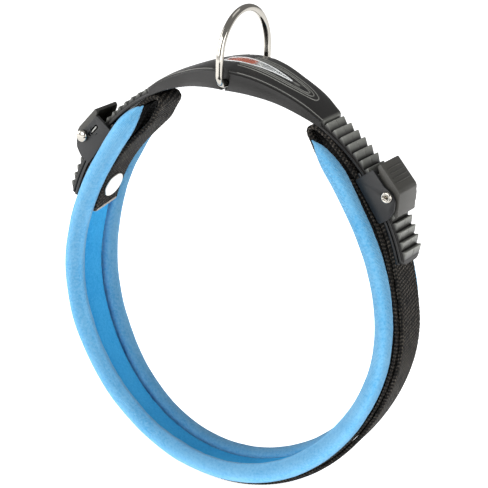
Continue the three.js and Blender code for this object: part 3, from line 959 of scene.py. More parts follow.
@dataclass
class PaddingRoll:
    """One stuffed roll beside the channel: knit sewn round a foam cord."""

    name: str
    stands_for: str
    side: int
    paint: Paintbox
    radial: float = 4.8
    front_radial: tuple[float, float] = (4.4, 5.5)  # the front roll's, at the right and past the bottom
    axial: float = 5.9
    start: float = 34.8
    end: float = 325.5
    taper_degrees: float = 16.0
    rear_slim: float = 0.72
    sides: int = 24
    steps: int = 420
    swell_cap: float = 0.7
    gather: float = 0.24
    ease_out: float = 0.9  # how far outward the front roll lies at the right

    def build(self) -> bpy.types.Object:
        """Makes the roll."""
        roll = finish_mesh(sweep_mesh([self.station(i / self.steps) for i in range(self.steps + 1)]),
                           self.name)
        self.swell(roll)
        self.gathers(roll)
        fine = roll.modifiers.new("smooth", "SUBSURF")
        fine.levels = fine.render_levels = 1
        dress(roll, self.paint.knit, Body.BAND, [self.stands_for])
        return roll

    def station(self, t: float) -> list[Vector]:
        """Gives the roll's section at a place from 0 to 1 along it; the sewn line is its first point."""
        t -= 0.6 * math.sin(2 * math.pi * t) / (2 * math.pi)
        degrees = lerp(self.start, self.end, t)
        from_end = min(degrees - self.start, self.end - degrees)
        rise = 1 - min(from_end / self.taper_degrees, 1.0)
        plump = max(1 - rise**2.8, 0.05) * 0.98
        if self.side > 0:
            slim = max(smoothstep(degrees, 262, 290), 0.7 * smoothstep(degrees, 145, 112))
            plump *= lerp(1, self.rear_slim, slim)
        front = lerp(*self.front_radial, smoothstep(degrees, 100, 150))
        thick = self.radial if self.side > 0 else front
        out = self.ease_out * smoothstep(degrees, 145, 105) * (1 - rise) if self.side < 0 else 0.0
        points = []
        for k in range(self.sides):
            a = 2 * math.pi * k / self.sides
            axial, radial = -self.side * self.axial * math.cos(a), -thick * math.sin(a)
            pinch = 1 - 0.1 * max(math.cos(a), 0) ** 6
            y = self.side * BAND.roll_offset + axial * plump * pinch
            points.append(BAND.place(BAND.roll, degrees, radial * plump + out, y))
        return points

    def swell(self, roll: bpy.types.Object) -> None:
        """Blows the knit up like a stuffed tube held at its sewn line, and keeps the result."""
        mesh = roll.data
        before = [v.co.copy() for v in mesh.vertices]
        grow = 20.0
        mesh.transform(Matrix.Scale(grow, 4))
        sewn = roll.vertex_groups.new(name="sewn")
        held = [v.index for v in mesh.vertices if v.index % self.sides in (0, 1, self.sides - 1)
                or v.index < 3 * self.sides or v.index >= len(mesh.vertices) - 3 * self.sides]
        sewn.add(held, 1.0, "REPLACE")
        cloth = roll.modifiers.new("cloth", "CLOTH")
        cloth.settings.quality = 5
        cloth.settings.use_pressure = True
        cloth.settings.uniform_pressure_force = 4
        cloth.settings.vertex_group_mass = "sewn"
        cloth.settings.shrink_min = -0.03
        cloth.settings.effector_weights.gravity = 0
        cloth.collision_settings.use_collision = False
        scene = bpy.context.scene
        for frame_number in range(1, 21):
            scene.frame_set(frame_number)
        graph = bpy.context.evaluated_depsgraph_get()
        after = [v.co / grow for v in roll.evaluated_get(graph).to_mesh().vertices]
        roll.modifiers.remove(cloth)
        roll.vertex_groups.remove(sewn)
        scene.frame_set(1)
        furthest = 0.0
        for vert, old, new in zip(mesh.vertices, before, after):
            move = new - old
            furthest = max(furthest, move.length)
            if move.length > self.swell_cap * MM:
                move = move.normalized() * self.swell_cap * MM
            vert.co = old + move
        log.info("%s swelled by up to %.2f mm before its cap", roll.name, furthest / MM)

    def gathers(self, roll: bpy.types.Object) -> None:
        """Adds the short puckers that the sewing pulls into the knit beside the channel."""
        for vert in roll.data.vertices:
            a = 2 * math.pi * (vert.index % self.sides) / self.sides
            degrees = math.degrees(math.atan2(vert.co.x, vert.co.z))
            near_seam = math.exp(-((a if a < math.pi else a - 2 * math.pi) / 0.95) ** 2)
            along = degrees * 1.35
            pucker = noise.noise(Vector((along, self.side * 7.0, a * 0.5)))
            slow = noise.noise(Vector((degrees * 0.11, self.side * 3.0, a * 0.9)))
            height = self.gather * (2.2 * pucker * near_seam + 1.1 * slow)
            vert.co += vert.normal * height * MM


@dataclass
class PaddingChannel:
    """The quilted strip between the rolls, with a sewn crease down each side."""

    paint: Paintbox
    half: float = 10.0
    inner: float = -0.6
    creases: tuple[float, float] = (3.2, 1.9)
    rear_lift: float = 1.3
    flange: float = 12.8
    tape_edges: tuple[tuple[int, float], ...] = ((-1, 14.0), (1, 15.5))  # side, and its far edge
    outer: float = 5.1
    start: float = 53.0
    end: float = 307.0
    steps: int = 460
    stitch_pitch: float = 3.0

    def build(self) -> list[bpy.types.Object]:
        """Makes the strip, its two rows of stitches and the tapes that bind its seams."""
        stations = [self.station(degrees) for degrees in self.angles()]
        strip = finish_mesh(sweep_mesh(stations), "channel_cover", 60)
        # The strip wears the knit's copy whose deeper blue is painted shade.
        dress(strip, self.paint.channel_shade_knit, Body.BAND, ["padding_channel"])
        rows = finish_mesh(join_meshes([self.stitch(y, d) for y in (-1, 1) for d in self.stitch_places()]),
                           "channel_stitches")
        dress(rows, self.paint.thread, Body.BAND)
        return [strip, rows, *(self.seam_tape(side, far) for side, far in self.tape_edges)]

    def seam_tape(self, side: int, far: float) -> bpy.types.Object:
        """Makes the narrow black tape that binds the seam behind a roll.

        Args:
            side: -1 for the front roll, 1 for the rear one.
            far: how far its outer edge lies from the collar's middle.

        Returns:
            The tape.
        """
        low, high, near = self.outer - 0.4, self.outer + 0.2, self.half - 0.2
        outline = ((near, low), (near, high), (far, high), (far, low))
        stations = [[BAND.place(BAND.layer, d, out, side * y) for y, out in outline]
                    for d in self.angles()]
        tape = finish_mesh(sweep_mesh(stations), "front_seam_tape" if side < 0 else "rear_seam_tape", 50)
        # The tape wears the weave's darker copy, which is painted shade.
        return dress(tape, self.paint.shaded_lining, Body.BAND)

    def angles(self) -> list[float]:
        """Gives the angles of the sections."""
        return [lerp(self.start, self.end, i / self.steps) for i in range(self.steps + 1)]

    def height(self, y: float, degrees: float) -> float:
        """Gives the strip's inner face: domed, with a wavering crease at each side."""
        waver = 0.35 * noise.noise(Vector((degrees * 0.8, math.copysign(5.0, y), 0)))
        edge = (self.half - abs(y) + waver) / 2.4
        lift = 1 - math.exp(-max(edge, 0) ** 1.4)
        lump = 0.16 * noise.noise(Vector((degrees * 0.5, y * 0.22, 1.0))) * lift
        pucker = 0.12 * noise.noise(Vector((degrees * 2.1, y * 0.1, 4.0))) * math.exp(-(edge / 1.1) ** 2)
        crown = 0.25 * (y / self.half) ** 2 - self.rear_lift * smoothstep(y, 1, 10)
        return lerp(self.creases[y > 0], self.inner + crown, lift) + lump + pucker

    def station(self, degrees: float) -> list[Vector]:
        """Gives the strip's section at an angle."""
        across = [self.half * math.sin(math.pi / 2 * k / 12) for k in range(-12, 13)]
        top = [(y, self.height(y, degrees)) for y in across]
        under = self.outer + 0.2
        rear = [(self.half + 1.0, 4.0), (self.flange, 4.6), (self.flange, under)]
        front = [(-self.half - 0.4, 4.0)]
        back = rear + [(self.half, under), (0.0, under), (1.2 - self.half, under)] + front
        return [BAND.place(BAND.layer, degrees, out, y) for y, out in top + back]

    def stitch_places(self) -> list[float]:
        """Gives the angles of one row's stitches."""
        count = int(math.radians(self.end - self.start) * 98 / self.stitch_pitch)
        return [lerp(77.0, 283.0, k / count) for k in range(count + 1)]

    def stitch(self, side: int, degrees: float) -> bmesh.types.BMesh:
        """Makes one stitch lying in a crease."""
        step = 0.62
        crease = self.creases[side > 0]
        path = [BAND.place(BAND.layer, degrees + d * step, out, side * (self.half - 0.25))
                for d, out in ((-1.0, crease + 0.4), (-0.6, crease - 0.3), (0.6, crease - 0.3),
                               (1.0, crease + 0.4))]
        section = ellipse(0.22, 0.22, 6)
        return sweep_mesh(tube_stations(path, lambda t: section, Vector((0, 1, 0))))


@dataclass
class BackingStrip:
    """The thin woven tape between the padding and the webbing."""

    paint: Paintbox
    half: float = 12.5
    inner: float = 5.5
    outer: float = 6.9
    start: float = 53.0
    end: float = 307.0
    steps: int = 300

    def build(self) -> bpy.types.Object:
        """Makes the tape."""
        tape = finish_mesh(sweep_mesh([self.station(i) for i in range(self.steps + 1)]), "backing_tape", 50)
        return dress(tape, self.paint.webbing, Body.BAND, ["backing_strip"])

    def station(self, i: int) -> list[Vector]:
        """Gives the tape's section, whose edges are slightly toothed by the weave."""
        degrees = lerp(self.start, self.end, i / self.steps)
        half = self.half - (0.25 if i % 2 else 0.0)
        mid = (self.inner + self.outer) / 2
        ys = [half, half - 0.5, half * 0.5, 0, -half * 0.5, 0.5 - half, -half]
        outline = [(half, mid), *((y, self.outer) for y in ys[1:-1]), (-half, mid),
                   *((y, self.inner) for y in reversed(ys[1:-1]))]
        return [BAND.place(BAND.layer, degrees, out, y) for y, out in outline]


@dataclass
class Webbing:
    """The load-bearing webbing: round the band, and folded back inside at both ends."""

    paint: Paintbox
    thick: float = 2.4
    half: float = 10.0
    offset: float = 8.4
    fold_layer_r: float = 87.7
    cut_ends: tuple[float, float] = (77.3, 76.0)
    pick: float = 0.8
    slant: float = 2.0
    toothing: float = 0.4
    tooth_pitch: float = 2.1
    fray: float = 0.25
    easing: int = 6  # rounds of smoothing on the path

    def build(self) -> list[bpy.types.Object]:
        """Makes the webbing and its two melted ends."""
        path = self.path()
        stations = self.stations(path)
        band = finish_mesh(sweep_mesh(stations), "folded_webbing", 70)
        dress(band, self.paint.webbing, Body.BAND, ["webbing"])
        ends = [self.sealed_end(f"sealed_end_{name}", ring) for name, ring in
                (("right", stations[0]), ("left", stations[-1]))]
        return [band, *ends, self.plies(Side.LEFT), self.plies(Side.RIGHT)]

    def fold(self, cut_end: float) -> list[Vector]:
        """Gives one side's mid line from its cut end round the fold's tip, on the right.

        Args:
            cut_end: the angle of the folded end.

        Returns:
            Points that pass the fat loop, which rests against the strap.
        """
        turn = [
            (87.8, 45.5), (88.4, 39), (89.7, 33.9), (92.3, 30.9), (94.5, 28.6), (96.4, 26.9),
            (99.4, 27.3), (100.55, 29.1), (100.45, 33.5), (99.1, 40),
        ]
        inside = [polar(self.fold_layer_r, lerp(cut_end, 49, k / 6)) for k in range(7)]
        outer = BAND.base_r + self.offset
        return inside + [polar(r, d) for r, d in turn] + [polar(outer, 45.5), polar(outer, 50)]

    def path(self) -> list[Vector]:
        """Gives the whole mid line, from the right end to the left one, before it hangs."""
        right = self.fold(self.cut_ends[0])
        left = [Vector((-p.x, 0, p.z)) for p in self.fold(self.cut_ends[1])]
        round_band = [BAND.bare(BAND.layer, lerp(62, 298, k / 34), self.offset, 0) for k in range(35)]
        points = right + round_band + left[::-1]
        length = sum((b - a).length for a, b in zip(points, points[1:]))
        line = spline(points, int(length / self.pick))
        for _ in range(self.easing):
            line[1:-1] = [(a + b * 2 + c) / 4 for a, b, c in zip(line, line[1:], line[2:])]
        return line

    def stations(self, path: Sequence[Vector]) -> list[list[Vector]]:
        """Places the webbing's section along its path."""
        edge = self.thick / 2
        flat = [-0.93, -0.7, -0.45, -0.2, 0.0, 0.2, 0.45, 0.7, 0.93]
        stations = []
        last = len(path) - 1
        for i, point in enumerate(path):
            forward = (path[min(i + 1, last)] - path[max(i - 1, 0)]).normalized()
            out = Vector((-forward.z, 0, forward.x))
            tooth = self.toothing * math.sin(2 * math.pi * i * self.pick / self.tooth_pitch)
            rough = tooth + self.fray * noise.noise(Vector((i * 0.45, 0, 0)))
            half = self.half - max(rough, 0)
            from_left = (last - i) * self.pick
            slant = self.slant * max(1 - from_left / 9, 0)
            outline = [(half * f, edge) for f in flat] + [(half, edge * 0.45), (half, -edge * 0.45)]
            outline += [(half * f, -edge) for f in reversed(flat)]
            outline += [(-half, -edge * 0.45), (-half, edge * 0.45)]
            ring = []
            for y, up in outline:
                p = BAND.hung(point + out * up + Vector((0, y, 0)))
                ring.append(p - forward * slant * (y / half))
            stations.append(ring)
        return stations

    def plies(self, side: Side) -> bpy.types.Object:
        """Makes the stack of black lining plies that fills a fold."""
        inner = (98.3, 96.8, 94.2, 91.8, 90.2, 89.6, 89.3, 89.2, 89.2)
        outer = (98.5, 98.8, 98.9, 98.8, 98.5, 98.0, 97.4, 96.9, 96.7)
        stations = []
        for k in range(65):
            t = k / 64
            degrees = lerp(29.2, 52.0, t)
            low, high = through(inner, t) + 0.1, through(outer, t) - 0.1
            ring = []
            for f in (-1.0, -0.5, 0.0, 0.5, 1.0):
                ring.append(polar(low, degrees, f * 9.3))
            for j in range(1, 8):
                groove = 0.35 * (j % 2)
                ring.append(polar(lerp(low, high, j / 8), degrees, 9.3 - groove))
            for f in (1.0, 0.5, 0.0, -0.5, -1.0):
                ring.append(polar(high, degrees, f * 9.3))
            for j in range(7, 0, -1):
                groove = 0.35 * (j % 2)
                ring.append(polar(lerp(low, high, j / 8), degrees, groove - 9.3))
            stations.append(ring)
        plies = finish_mesh(half_turn(sweep_mesh(stations), side), f"fold_plies_{side.value}", 50)
        # The plies wear the weave's darker copy: painted shade for the inside of the fold.
        return dress(plies, self.paint.shaded_lining, Body.BAND)

    def sealed_end(self, name: str, ring: Sequence[Vector]) -> bpy.types.Object:
        """Makes the hard melted lip across a cut end.

        Args:
            name: the lip's name.
            ring: the webbing's last section.

        Returns:
            The lip.
        """
        half_count = len(ring) // 2
        near = (ring[0] + ring[half_count + 8]) / 2
        far = (ring[8] + ring[half_count]) / 2
        path = [near.lerp(far, lerp(-0.03, 1.03, k / 24)) for k in range(25)]
        side = (ring[0] - ring[half_count + 8]).normalized()

        def section(t: float) -> list[tuple[float, float]]:
            """Gives the lip's section, which thins out at both ends."""
            full = min(1.0, 0.45 + 6 * min(t, 1 - t)) * (1 + 0.12 * noise.noise(Vector((t * 9, 0, 0))))
            return ellipse(self.thick * 0.62 * full, 1.15 * full, 12)

        lip = finish_mesh(sweep_mesh(tube_stations(path, section, side)), name)
        return dress(lip, self.paint.sealed, Body.BAND)


# ---- Toothed strap ------------------------------------------------------------------------


@dataclass
class ToothedStrap:
    """The rigid strap: a domed crown that holds the ring, and a toothed tail each side."""

    paint: Paintbox
    inner_r: float = 101.9
    flange_top_r: float = 103.4
    flange_half: float = 9.9
    tooth_half: float = 8.7
    valley_r: float = 104.0
    tip_r: float = 106.3
    pitch: float = 2.75
    count: int = 16
    first: float = 30.3
    nose: float = 1.1
    chamfer: float = 1.0
    wall: float = 2.4
    block: float = 4.2
    skirt_hollow: float = 0.8
    half_widths: tuple[float, ...] = (20, 17.6, 14.5, 12.4, 9.9)
    edge_radii: tuple[float, ...] = (112.5, 111.6, 109.8, 108.3, 106.2)
    domes: tuple[float, ...] = (1.3, 1.1, 0.9, 0.7, 0.1)
    bore_r: float = 2.3
    slit: float = 1.7
    leaf_start: float = -4.8
    leaf_end: float = 14.9
    leaf_half: float = 4.5
    leaf_depth: float = 1.3

    def half(self, a: float) -> float:
        """Gives the crown's half width at an angle."""
        return through(self.half_widths, abs(a) / self.first)

    def edge(self, a: float) -> float:
        """Gives the radius of the crown's top edge at an angle."""
        return through(self.edge_radii, abs(a) / self.first)

    def top(self, a: float, y: float = 0.0) -> float:
        """Gives the radius of the crown's domed top at an angle and a distance from its middle."""
        body = self.half(a) - self.chamfer * 0.8
        return self.edge(a) + through(self.domes, abs(a) / self.first) * (1 - (y / body) ** 2)

    def section(self, a: float, half: float, shoulder: float, body: float, edge: float,
                dome: float, nick: float = 0.0, hollow: float = 0.0) -> list[Vector]:
        """Gives the strap's section at an angle.

        Args:
            a: the angle.
            half: the half width of the base.
            shoulder: the radius of the base's top.
            body: the half width above the shoulder.
            edge: the radius of the body's top edge.
            dome: how far the middle stands above that edge.
            nick: the depth of the groove along the middle.
            hollow: how far the base's side wall is drawn in.

        Returns:
            The section's points.
        """
        low = self.inner_r
        side = [(half - 0.4, low), (half, low + 0.4)]
        side += [(half - hollow * s, lerp(low + 0.4, shoulder - 0.35, f))
                 for f, s in ((0.25, 0.75), (0.5, 1.0), (0.75, 0.75))]
        side += [(half, shoulder - 0.35), (half - 0.3, shoulder), (body + 0.15, shoulder + 0.06)]
        side += [(body, shoulder + 0.25), (body, edge - 0.45), (body - 0.13, edge - 0.13)]
        side += [(body - 0.45, edge)]
        side += [(body * f, edge + dome * (1 - f * f)) for f in (0.8, 0.6, 0.4, 0.2)]
        side += [(0.5, edge + dome)]
        outline = side + [(0.0, edge + dome - nick)] + [(-y, r) for y, r in reversed(side)]
        return [polar(r, a, y) for y, r in outline]

    def crown_section(self, a: float) -> list[Vector]:
        """Gives the crown's section at an angle."""
        half, edge = self.half(a), self.edge(a)
        deep = self.skirt_hollow * smoothstep(abs(a), 30, 8)
        dome = through(self.domes, abs(a) / self.first)
        return self.section(a, half, edge - self.chamfer, half - self.chamfer * 0.8, edge, dome,
                            hollow=deep)

    def tail_sections(self) -> list[tuple[float, dict[str, float]]]:
        """Gives the toothed tail's sections, as an angle and the section's sizes."""
        flank = ((0.0, 104.0, 0.0), (0.08, 104.25, 0.05), (0.24, 105.95, 0.4), (0.31, 106.22, 0.6),
                 (0.44, 106.3, 0.6), (0.7, 106.15, 0.45), (1.7, 105.1, 0.2), (2.55, 104.18, 0.0))
        tail = [(self.first - 0.6, dict(edge=self.tip_r))]
        for i in range(self.count):
            start = self.first + i * self.pitch
            tail += [(start + d, dict(edge=r, nick=n)) for d, r, n in flank]
        end = self.first + self.count * self.pitch
        tail.append((end, dict(edge=self.valley_r + 0.2)))
        for share, narrow in ((0.35, 0.6), (0.7, 1.6), (0.9, 2.8), (1.0, 3.9)):
            tail.append((end + self.nose * share, dict(edge=self.valley_r - 0.2 * share, narrow=narrow)))
        return tail

    def blank(self) -> bmesh.types.BMesh:
        """Makes the strap before anything is cut from it."""
        tail = self.tail_sections()

        def tooth(a: float, edge: float, nick: float = 0.0, narrow: float = 0.0) -> list[Vector]:
            """Gives the tail's section at an angle."""
            half = self.flange_half - narrow
            return self.section(a, half, self.flange_top_r, half - self.flange_half + self.tooth_half,
                                edge, 0.05, nick)

        crown = [k * 0.5 for k in range(-58, 59)]
        stations = [tooth(-a, **sizes) for a, sizes in reversed(tail)]
        stations += [self.crown_section(a) for a in crown]
        stations += [tooth(a, **sizes) for a, sizes in tail]
        return sweep_mesh(stations)

    def pocket(self, side: int) -> bmesh.types.BMesh:
        """Makes the hollow under one side of the crown."""
        stations = []
        for k in range(20):
            a = lerp(self.block, 26.7, k / 19)
            half, top = self.half(a) - self.wall, self.edge(a) - self.wall
            outline = [(-half, self.inner_r - 2), (half, self.inner_r - 2), (half, top - 1),
                       (half - 1, top), (1 - half, top), (-half, top - 1)]
            stations.append([polar(r, side * a, y) for y, r in outline])
        return sweep_mesh(stations)

    def ring_seat(self) -> list[bmesh.types.BMesh]:
        """Makes the flared bore for the ring, and the slit that the ring is sprung in through."""
        flared = self.bore_r + 1.5
        bore = lathe_mesh([(0, -30), (flared, -30), (flared, -20.4), (self.bore_r + 0.4, -19),
                           (self.bore_r, -17.6), (self.bore_r, 17.6), (self.bore_r + 0.4, 19),
                           (flared, 20.4), (flared, 30), (0, 30)])
        bmesh.ops.translate(bore, verts=bore.verts, vec=(0, 0, RING_BASE_Z))
        slit = bmesh.new()
        bmesh.ops.create_cube(slit, size=1)
        bmesh.ops.scale(slit, vec=(self.slit, 60, 6), verts=slit.verts)
        bmesh.ops.translate(slit, verts=slit.verts, vec=(0, 0, RING_BASE_Z - 3))
        return [bore, slit, self.groove(1), self.groove(-1)]

    def groove(self, side: int) -> bmesh.types.BMesh:
        """Makes the upright groove in a side of the crown that the ring's leg rests in."""
        top = RING_BASE_Z + 9.5
        outline = [Vector((-2.6, 0, RING_BASE_Z)), Vector((3.0, 0, RING_BASE_Z)),
                   Vector((3.6, 0, RING_BASE_Z + 5)), Vector((1.6, 0, top)), Vector((-1.8, 0, top))]
        return plate_mesh(outline, *sorted((side * 17.6, side * 23.0)))

    def leaf_outline(self, t: float) -> tuple[float, float]:
        """Gives the emblem's angle and half width at a place from 0 to 1 along it."""
        half = self.leaf_half * math.sin(math.pi * math.sqrt(lerp(0.05, 0.985, t)))
        return lerp(self.leaf_start, self.leaf_end, t), half

    def leaf(self, low: float, high: float, grow: float = 0.0, round_top: float = 0.0) -> bmesh.types.BMesh:
        """Makes a leaf-shaped slab that follows the crown's top.

        Args:
            low: its underside, from the crown's top.
            high: its upper side at the edge, from the crown's top.
            grow: how much wider it is than the emblem.
            round_top: how far its middle stands above its edge.

        Returns:
            A closed mesh.
        """
        stations = []
        more = math.degrees(grow / 109.5)
        for k in range(49):
            t = k / 48
            a, half = self.leaf_outline(t)
            a, half = a + lerp(-more, more, t), half + grow
            swell = round_top * min(1.0, 5 * min(t, 1 - t))
            top = self.top(a)
            outline = [(-half, top + low), (half, top + low)]
            outline += [(half * f, top + high + swell * (1 - f * f))
                        for f in (1.0, 0.85, 0.6, 0.3, 0.0, -0.3, -0.6, -0.85, -1.0)]
            stations.append([polar(r, a, y) for y, r in outline])
        return sweep_mesh(stations)

    def ridge_path(self, start: float, width: float, tip: float, lift: float) -> list[Vector]:
        """Gives a raised line that runs out from the ring, round its tip, and back.

        Args:
            start: the angle where it leaves the ring's notch.
            width: its distance from the middle there.
            tip: the angle of its far end.
            lift: its height over the crown's top.

        Returns:
            Points on the crown's top.
        """
        corners = []
        for k in range(-40, 41):
            s = k / 40
            share = abs(s)
            a = lerp(tip, start, share**1.35)
            y = math.copysign(width * share**0.5 * (1 + 0.1 * math.sin(math.pi * share)), s)
            corners.append(polar(self.top(a, y) + lift, a, y))
        return resample(corners, 120)

    def build(self) -> list[bpy.types.Object]:
        """Makes the strap, its raised lines and its emblem."""
        cuts = [self.pocket(1), self.pocket(-1), *self.ring_seat(), self.leaf(-self.leaf_depth, 3, 0.3)]
        body = finish_mesh(carve(self.blank(), cuts), "ratchet_strap", 32)
        pieces = [dress(body, self.paint.strap, Body.STRAP, ["top_strap"])]
        # The raised ridges are drawn as pale tubes: their pale grey is a painted highlight.
        for name, width, tip in (("inner", 5.6, 20.7), ("middle", 7.4, 22.0), ("outer", 9.8, 23.6)):
            line = tube(f"crown_ridge_{name}", self.ridge_path(1.2, width, tip, 0.02), 0.34, 8,
                        Vector((0.3, 0.2, 1)).normalized())
            pieces.append(dress(line, self.paint.highlight_line, Body.STRAP))
        # Pale tubes along the crown's top edges: painted highlight lines, not parts of the strap.
        for sign in (1, -1):
            for side in (1, -1):
                line = tube(f"crown_edge_highlight_{len(pieces)}", self.edge_path(sign, side), 0.19, 8,
                            Vector((0.3, 0.2, 1)).normalized())
                pieces.append(dress(line, self.paint.highlight_line, Body.STRAP))
        # The black drop paints the shadow of the recess at the crown's tip; it is a thin lifted patch, not a
        # hollow.
        for name, start, end, half, lift, material in (
            ("tip_field", 14.6, 20.4, 3.0, 0.0, self.paint.field),
            ("tip_recess_shadow", 17.0, 19.9, 1.7, 0.09, self.paint.shadow),
            ("tip_tail", 14.6, 17.6, 0.9, 0.12, self.paint.highlight_line),
        ):
            pieces.append(dress(self.drop(name, start, end, half, lift), material, Body.STRAP))
        inlay = finish_mesh(self.leaf(-self.leaf_depth + 0.3, -0.5), "emblem_foil", 40)
        pieces.append(dress(inlay, self.paint.foil, Body.STRAP, ["emblem_inlay"]))
        dome = finish_mesh(self.leaf(-0.2, 0.15, 0.0, 0.35), "emblem_resin", 50)
        pieces.append(dress(dome, self.paint.resin, Body.STRAP, ["emblem_dome"]))
        pieces.append(dress(self.border(), self.paint.print_line, Body.STRAP))
        return pieces

    def edge_path(self, sign: int, side: int) -> list[Vector]:
        """Follows one top edge of the crown, from the ring's groove to the teeth, for the pale tube that
        paints its highlight.
        """
        points = []
        for k in range(41):
            a = lerp(3.6, 29.2, k / 40)
            y = side * (self.half(a) - self.chamfer * 0.8 - 0.12)
            points.append(polar(self.edge(a) - 0.12, sign * a, y))
        return points

    def drop(self, name: str, start: float, end: float, half: float, lift: float) -> bpy.types.Object:
        """Makes a drop-shaped mark on the crown, beyond the emblem.

        Args:
            name: the mark's name.
            start: its first angle.
            end: its last angle.
            half: its half width.
            lift: its height over the crown's top.

        Returns:
            The mark.
        """
        stations = []
        for k in range(17):
            t = k / 16
            a = lerp(start, end, t)
            wide = half * math.sin(math.pi * lerp(0.04, 0.96, t) ** 1.3)
            stations.append([polar(self.top(a, y) + lift + up, a, y) for y, up in ellipse(wide, 0.05, 12)])
        return finish_mesh(sweep_mesh(stations), name)

    def border(self) -> bpy.types.Object:
        """Makes the printed line round the emblem."""
        corners = []
        for side in (1, -1):
            order = range(60) if side > 0 else range(59, -1, -1)
            for k in order:
                a, half = self.leaf_outline(k / 59)
                y = side * (half + 0.15)
                corners.append(polar(self.top(a, y) + 0.06, a, y))
        path = resample(corners + corners[:1], 160)
        return tube("emblem_border", path, 0.34, 8, Vector((0.3, 0.2, 1)).normalized(), closed=True)


# ---- Lead ring ----------------------------------------------------------------------------


@dataclass
class LeadRing:
    """The welded wire ring that a lead clips to."""

    paint: Paintbox
    wire_r: float = 1.95
    half: float = 23.5
    bend_r: float = 5.0
    leg_top: float = 11.8

    def build(self) -> bpy.types.Object:
        """Makes the ring."""
        base, inner = RING_BASE_Z, self.half - self.bend_r

        def arc(y: float, z: float, r: float, start: float, end: float, steps: int) -> list[Vector]:
            """Gives points along an arc in the YZ plane."""
            turns = (math.radians(lerp(start, end, k / steps)) for k in range(steps + 1))
            return [Vector((0, y + r * math.cos(a), z + r * math.sin(a))) for a in turns]

        line = arc(inner, base + self.bend_r, self.bend_r, -90, 0, 16)
        line += arc(0, base + self.leg_top, self.half, 0, 180, 72)
        line += arc(-inner, base + self.bend_r, self.bend_r, 180, 270, 16)
        path = resample(line + line[:1], 220)
        ring = tube("wire_ring", path, self.wire_r, 24, Vector((1, 0, 0)), closed=True)
        return dress(ring, self.paint.nickel, Body.RING, ["lead_ring"])


# ---- Buckles ------------------------------------------------------------------------------


